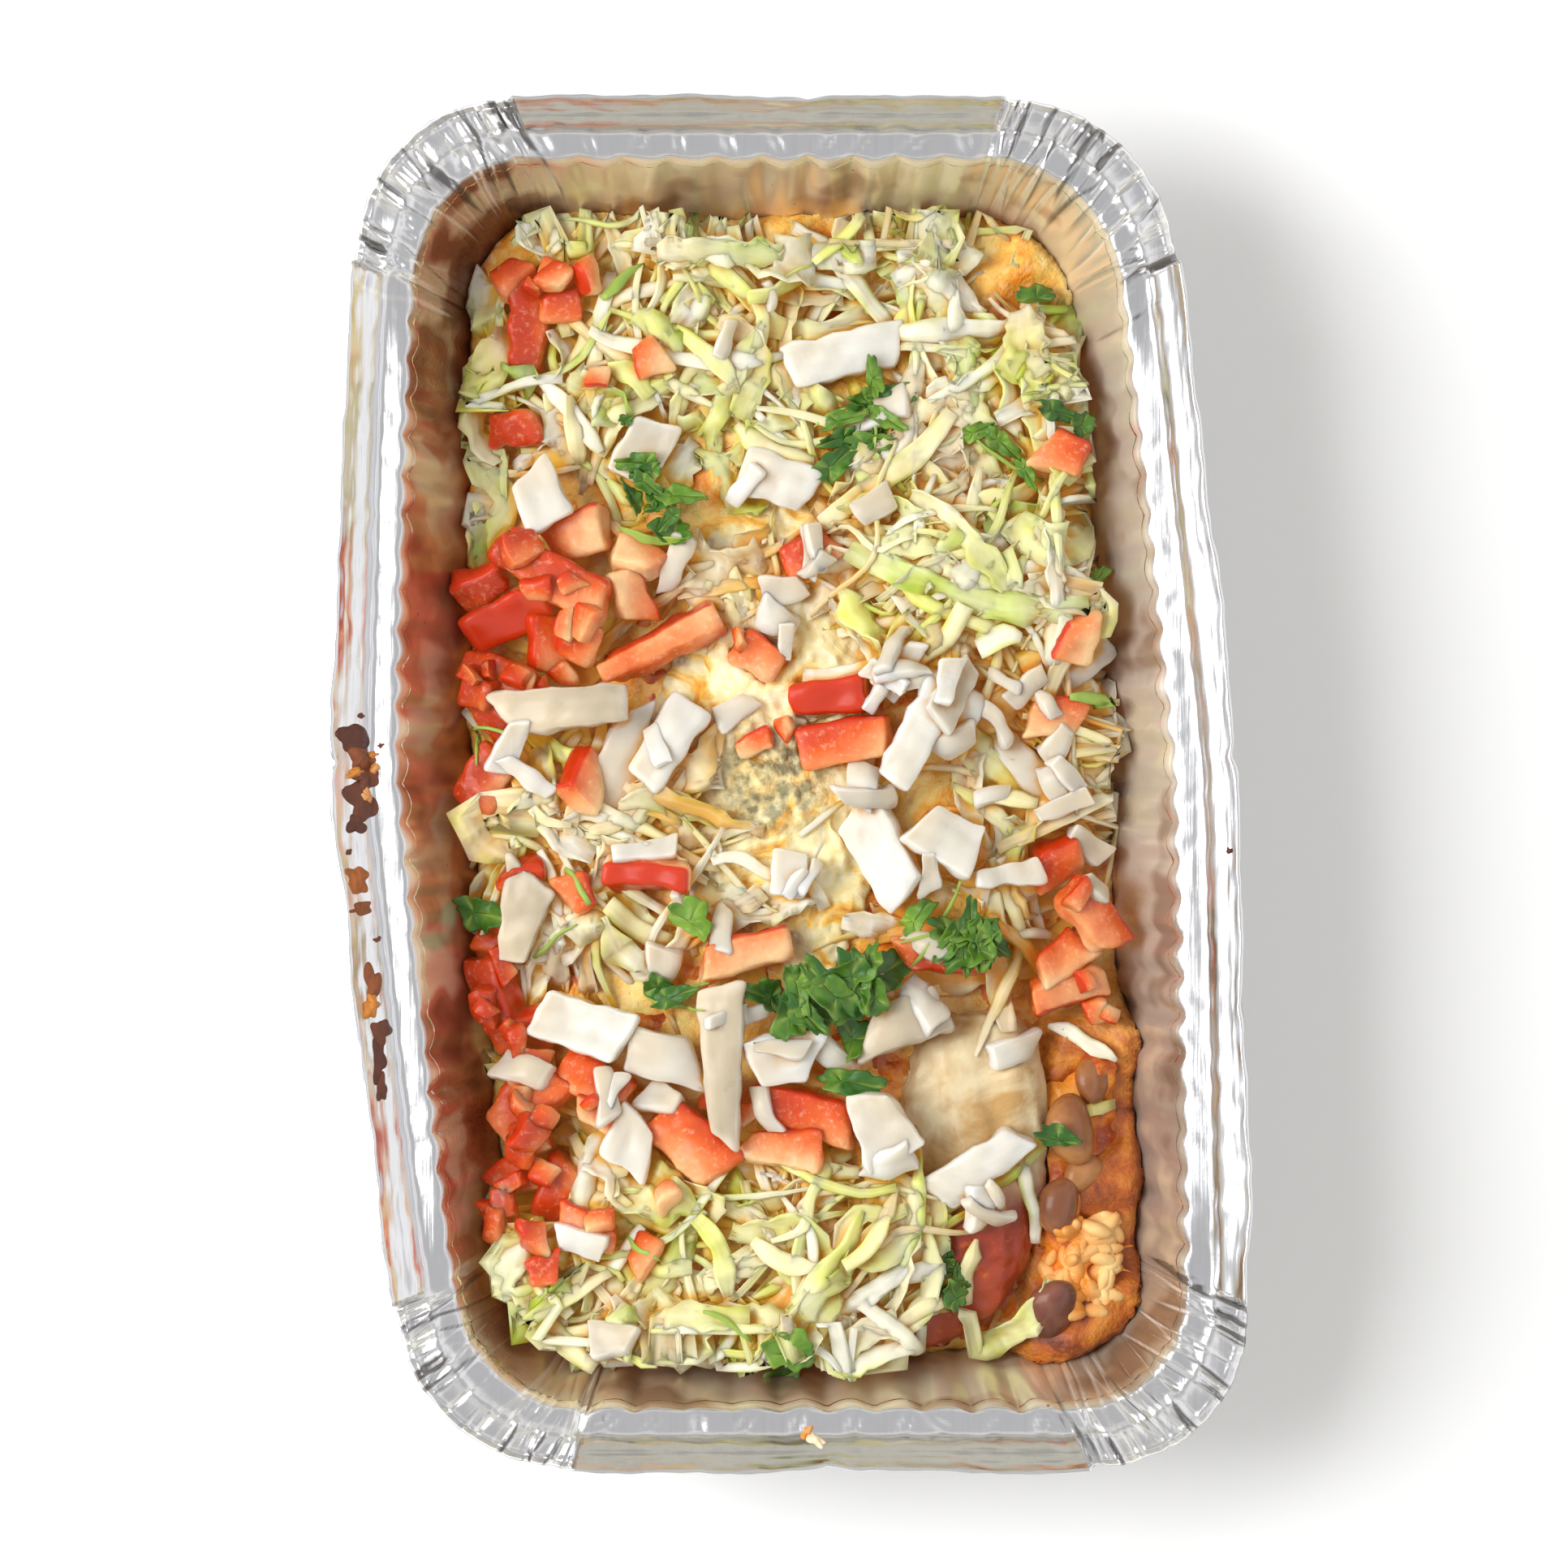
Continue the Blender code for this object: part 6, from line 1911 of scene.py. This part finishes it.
def build_stage(props):
    """A wide pale floor, a window to the left that foil doesn't mirror, and a softer panel that it does."""
    finish = Finish("floor", roughness=0.9)
    finish.set("Base Color", finish.mix(finish.noise(3.0), props.floor_colour, props.floor_colour))
    around = ((-1, -1), (1, -1), (1, 1), (-1, 1))
    corners = [(FLOOR_HALF * a, FLOOR_HALF * b, FLOOR_DROP) for a, b in around]
    floor = mesh_piece("floor", corners, [(0, 1, 2, 3)], finish.material, smooth=False)
    area_light("window", (-0.66, 0.12, 0.84), (0.5, 0.7), props.window_power, False)
    area_light("panel", (-0.80, 0.04, 0.75), (0.55, 0.9), props.panel_power)
    world_light(props.room_light)
    camera = bpy.data.cameras.new("camera")
    camera.sensor_width = SENSOR_WIDTH
    camera.lens = SENSOR_WIDTH * CAMERA_HEIGHT / props.view_width
    camera.clip_start = 0.05
    holder = bpy.data.objects.new("camera", camera)
    holder.location = (-0.0009, -0.0001, SHOULDER_HEIGHT * MM + 0.004 + CAMERA_HEIGHT)
    bpy.context.scene.collection.objects.link(holder)
    bpy.context.scene.camera = holder
    bpy.context.scene.view_settings.view_transform = "Standard"


def length_property(name, text, default):
    return FloatProperty(name=name, description=text, default=default, unit="LENGTH", precision=5)


def colour_property(name, *shade):
    text = f"Colour of the {name.lower()}"
    shade = seen(*shade)
    return FloatVectorProperty(name=name, description=text, default=shade, subtype="COLOR", min=0, max=1)


def number_property(name, text, default, unit="NONE"):
    return FloatProperty(name=name, description=text, default=default, min=0, unit=unit)


def count_property(name, text, default):
    return IntProperty(name=name, description=text, default=default, min=0)


class MealTray(bpy.types.PropertyGroup):
    """The foil tray's relief and finish."""

    flute_depth: length_property("Flute depth", "How deep the wall's flutes are", 1.15 * MM)
    pleat_height: length_property("Pleat height", "How high the outer band's pleats stand", 0.6 * MM)
    pleats: count_property("Pleats", "Short folds at each corner", 40)
    creases: count_property("Creases", "Folds at each corner", 30)
    foil_colour: colour_property("Foil", 243, 243, 246)
    foil_roughness: number_property("Roughness", "Roughness of the foil", 0.19)
    # The wall colours are painted reflections of the food.
    left_wall_reflection: colour_property("Left wall", 214, 150, 116)
    right_wall_reflection: colour_property("Right wall", 232, 218, 202)
    end_wall_reflection: colour_property("End walls", 238, 226, 192)


class MealFood(bpy.types.PropertyGroup):
    """Colours and amounts of the food."""

    strips_per_area: number_property("Strips", "Strips of lettuce on each square metre", 50000.0)
    rice_per_area: number_property("Rice", "Grains on each square metre", 300000.0)
    # Soak reach and depth also set where painted shade falls deep in the food.
    soak_shade_reach: count_property("Soak reach", "Over how wide a place depth is judged", 18)
    soak_shade_depth: length_property("Soak depth", "How deep a piece lies where it is wholly soaked", 2.4 * MM)
    bits: number_property("Bits", "Share of the small chopped pieces", 1.0)
    leaf_edge: colour_property("Leaf edge", 214, 228, 140)
    leaf_pale: colour_property("Leaf rib", 243, 236, 206)
    # The sauce tint, which also paints warm shade where food lies deep.
    leaf_sauce_shade: colour_property("Wet leaf", 236, 184, 92)
    tomato_flesh: colour_property("Tomato flesh", 230, 144, 88)
    tomato_core: colour_property("Tomato core", 236, 188, 138)
    tomato_ripe: colour_property("Ripe tomato", 200, 64, 14)
    tomato_skin: colour_property("Tomato skin", 192, 50, 12)
    onion_colour: colour_property("Onion", 226, 225, 218)
    onion_wet: colour_property("Glassy onion", 178, 166, 144)
    coriander_dark: colour_property("Coriander", 46, 92, 24)
    coriander_light: colour_property("Coriander light", 118, 156, 46)
    sauce_red: colour_property("Red sauce", 184, 74, 18)
    sauce_orange: colour_property("Orange sauce", 228, 130, 28)
    cheese_orange: colour_property("Orange cheese", 238, 180, 72)
    cheese_cream: colour_property("Cream cheese", 245, 222, 160)


class MealStage(bpy.types.PropertyGroup):
    """Floor, light and camera."""

    floor_colour: colour_property("Floor", 247, 247, 247)
    window_power: number_property("Window", "Power of the main light", 10.0, "POWER")
    panel_power: number_property("Panel", "Power of the soft panel", 3.6, "POWER")
    room_light: number_property("Room", "Brightness of the room", 0.85)
    view_width: length_property("View width", "Width of the picture at the tray's rim", 0.255)


class MealStep:
    """What the operators share: each runs its step with the settings that it names."""

    settings = "meal_food"

    def execute(self, context):
        self.step(getattr(context.scene, self.settings))
        return {"FINISHED"}


class MEAL_OT_tray(MealStep, bpy.types.Operator):
    """Build the crinkled foil tray"""

    bl_idname = "meal.tray"
    bl_label = "Foil Tray"
    settings = "meal_tray"
    step = staticmethod(build_tray)


class MEAL_OT_enchiladas(MealStep, bpy.types.Operator):
    """Build the sauced enchiladas and the rolled end"""

    bl_idname = "meal.enchiladas"
    bl_label = "Enchiladas"
    step = staticmethod(build_enchiladas)


class MEAL_OT_cheese(MealStep, bpy.types.Operator):
    """Build the melted cheese"""

    bl_idname = "meal.cheese"
    bl_label = "Melted Cheese"
    step = staticmethod(build_cheese)


class MEAL_OT_side_dish(MealStep, bpy.types.Operator):
    """Build the beans and rice"""

    bl_idname = "meal.side_dish"
    bl_label = "Beans and Rice"
    step = staticmethod(build_side_dish)


class MEAL_OT_tomatoes(MealStep, bpy.types.Operator):
    """Build the chopped tomato"""

    bl_idname = "meal.tomatoes"
    bl_label = "Tomato"
    step = staticmethod(build_tomatoes)


class MEAL_OT_onions(MealStep, bpy.types.Operator):
    """Build the chopped onion"""

    bl_idname = "meal.onions"
    bl_label = "Onion"
    step = staticmethod(build_onions)


class MEAL_OT_salad(MealStep, bpy.types.Operator):
    """Build the shredded lettuce"""

    bl_idname = "meal.salad"
    bl_label = "Shredded Lettuce"
    step = staticmethod(build_salad)


class MEAL_OT_coriander(MealStep, bpy.types.Operator):
    """Build the coriander leaves"""

    bl_idname = "meal.coriander"
    bl_label = "Coriander"
    step = staticmethod(build_coriander)


class MEAL_OT_soak(MealStep, bpy.types.Operator):
    """Let the sauce soak into what lies deep in the food, and paint shade there"""

    bl_idname = "meal.soak"
    bl_label = "Soaked-in Sauce"
    step = staticmethod(soak_food)


class MEAL_OT_stains(MealStep, bpy.types.Operator):
    """Build the baked-on spots on the foil"""

    bl_idname = "meal.stains"
    bl_label = "Stains"
    step = staticmethod(build_stains)


class MEAL_OT_stage(MealStep, bpy.types.Operator):
    """Set up the floor, the lights and the camera"""

    bl_idname = "meal.stage"
    bl_label = "Stage"
    settings = "meal_stage"
    step = staticmethod(build_stage)


OPERATORS = (
    MEAL_OT_stage,
    MEAL_OT_tray,
    MEAL_OT_stains,
    MEAL_OT_enchiladas,
    MEAL_OT_cheese,
    MEAL_OT_side_dish,
    MEAL_OT_salad,
    MEAL_OT_tomatoes,
    MEAL_OT_onions,
    MEAL_OT_coriander,
    MEAL_OT_soak,
)


class MEAL_PT_pieces(bpy.types.Panel):
    """Lists the steps that build the meal"""

    bl_label = "Foil Tray Meal"
    bl_idname = "MEAL_PT_pieces"
    bl_space_type = "VIEW_3D"
    bl_region_type = "UI"
    bl_category = "Meal"

    def draw(self, context):
        for operator in OPERATORS:
            self.layout.operator(operator.bl_idname)
        for group in (context.scene.meal_tray, context.scene.meal_food, context.scene.meal_stage):
            box = self.layout.box()
            for name in group.bl_rna.properties.keys():
                if name not in ("rna_type", "name"):
                    box.prop(group, name)


CLASSES = (MealTray, MealFood, MealStage, *OPERATORS, MEAL_PT_pieces)


def register():
    for cls in CLASSES:
        bpy.utils.register_class(cls)
    bpy.types.Scene.meal_tray = PointerProperty(type=MealTray)
    bpy.types.Scene.meal_food = PointerProperty(type=MealFood)
    bpy.types.Scene.meal_stage = PointerProperty(type=MealStage)


def unregister():
    del bpy.types.Scene.meal_tray
    del bpy.types.Scene.meal_food
    del bpy.types.Scene.meal_stage
    for cls in reversed(CLASSES):
        bpy.utils.unregister_class(cls)


def main():
    register()
    for operator in OPERATORS:
        group, name = operator.bl_idname.split(".")
        getattr(getattr(bpy.ops, group), name)()


if __name__ == "__main__":
    main()
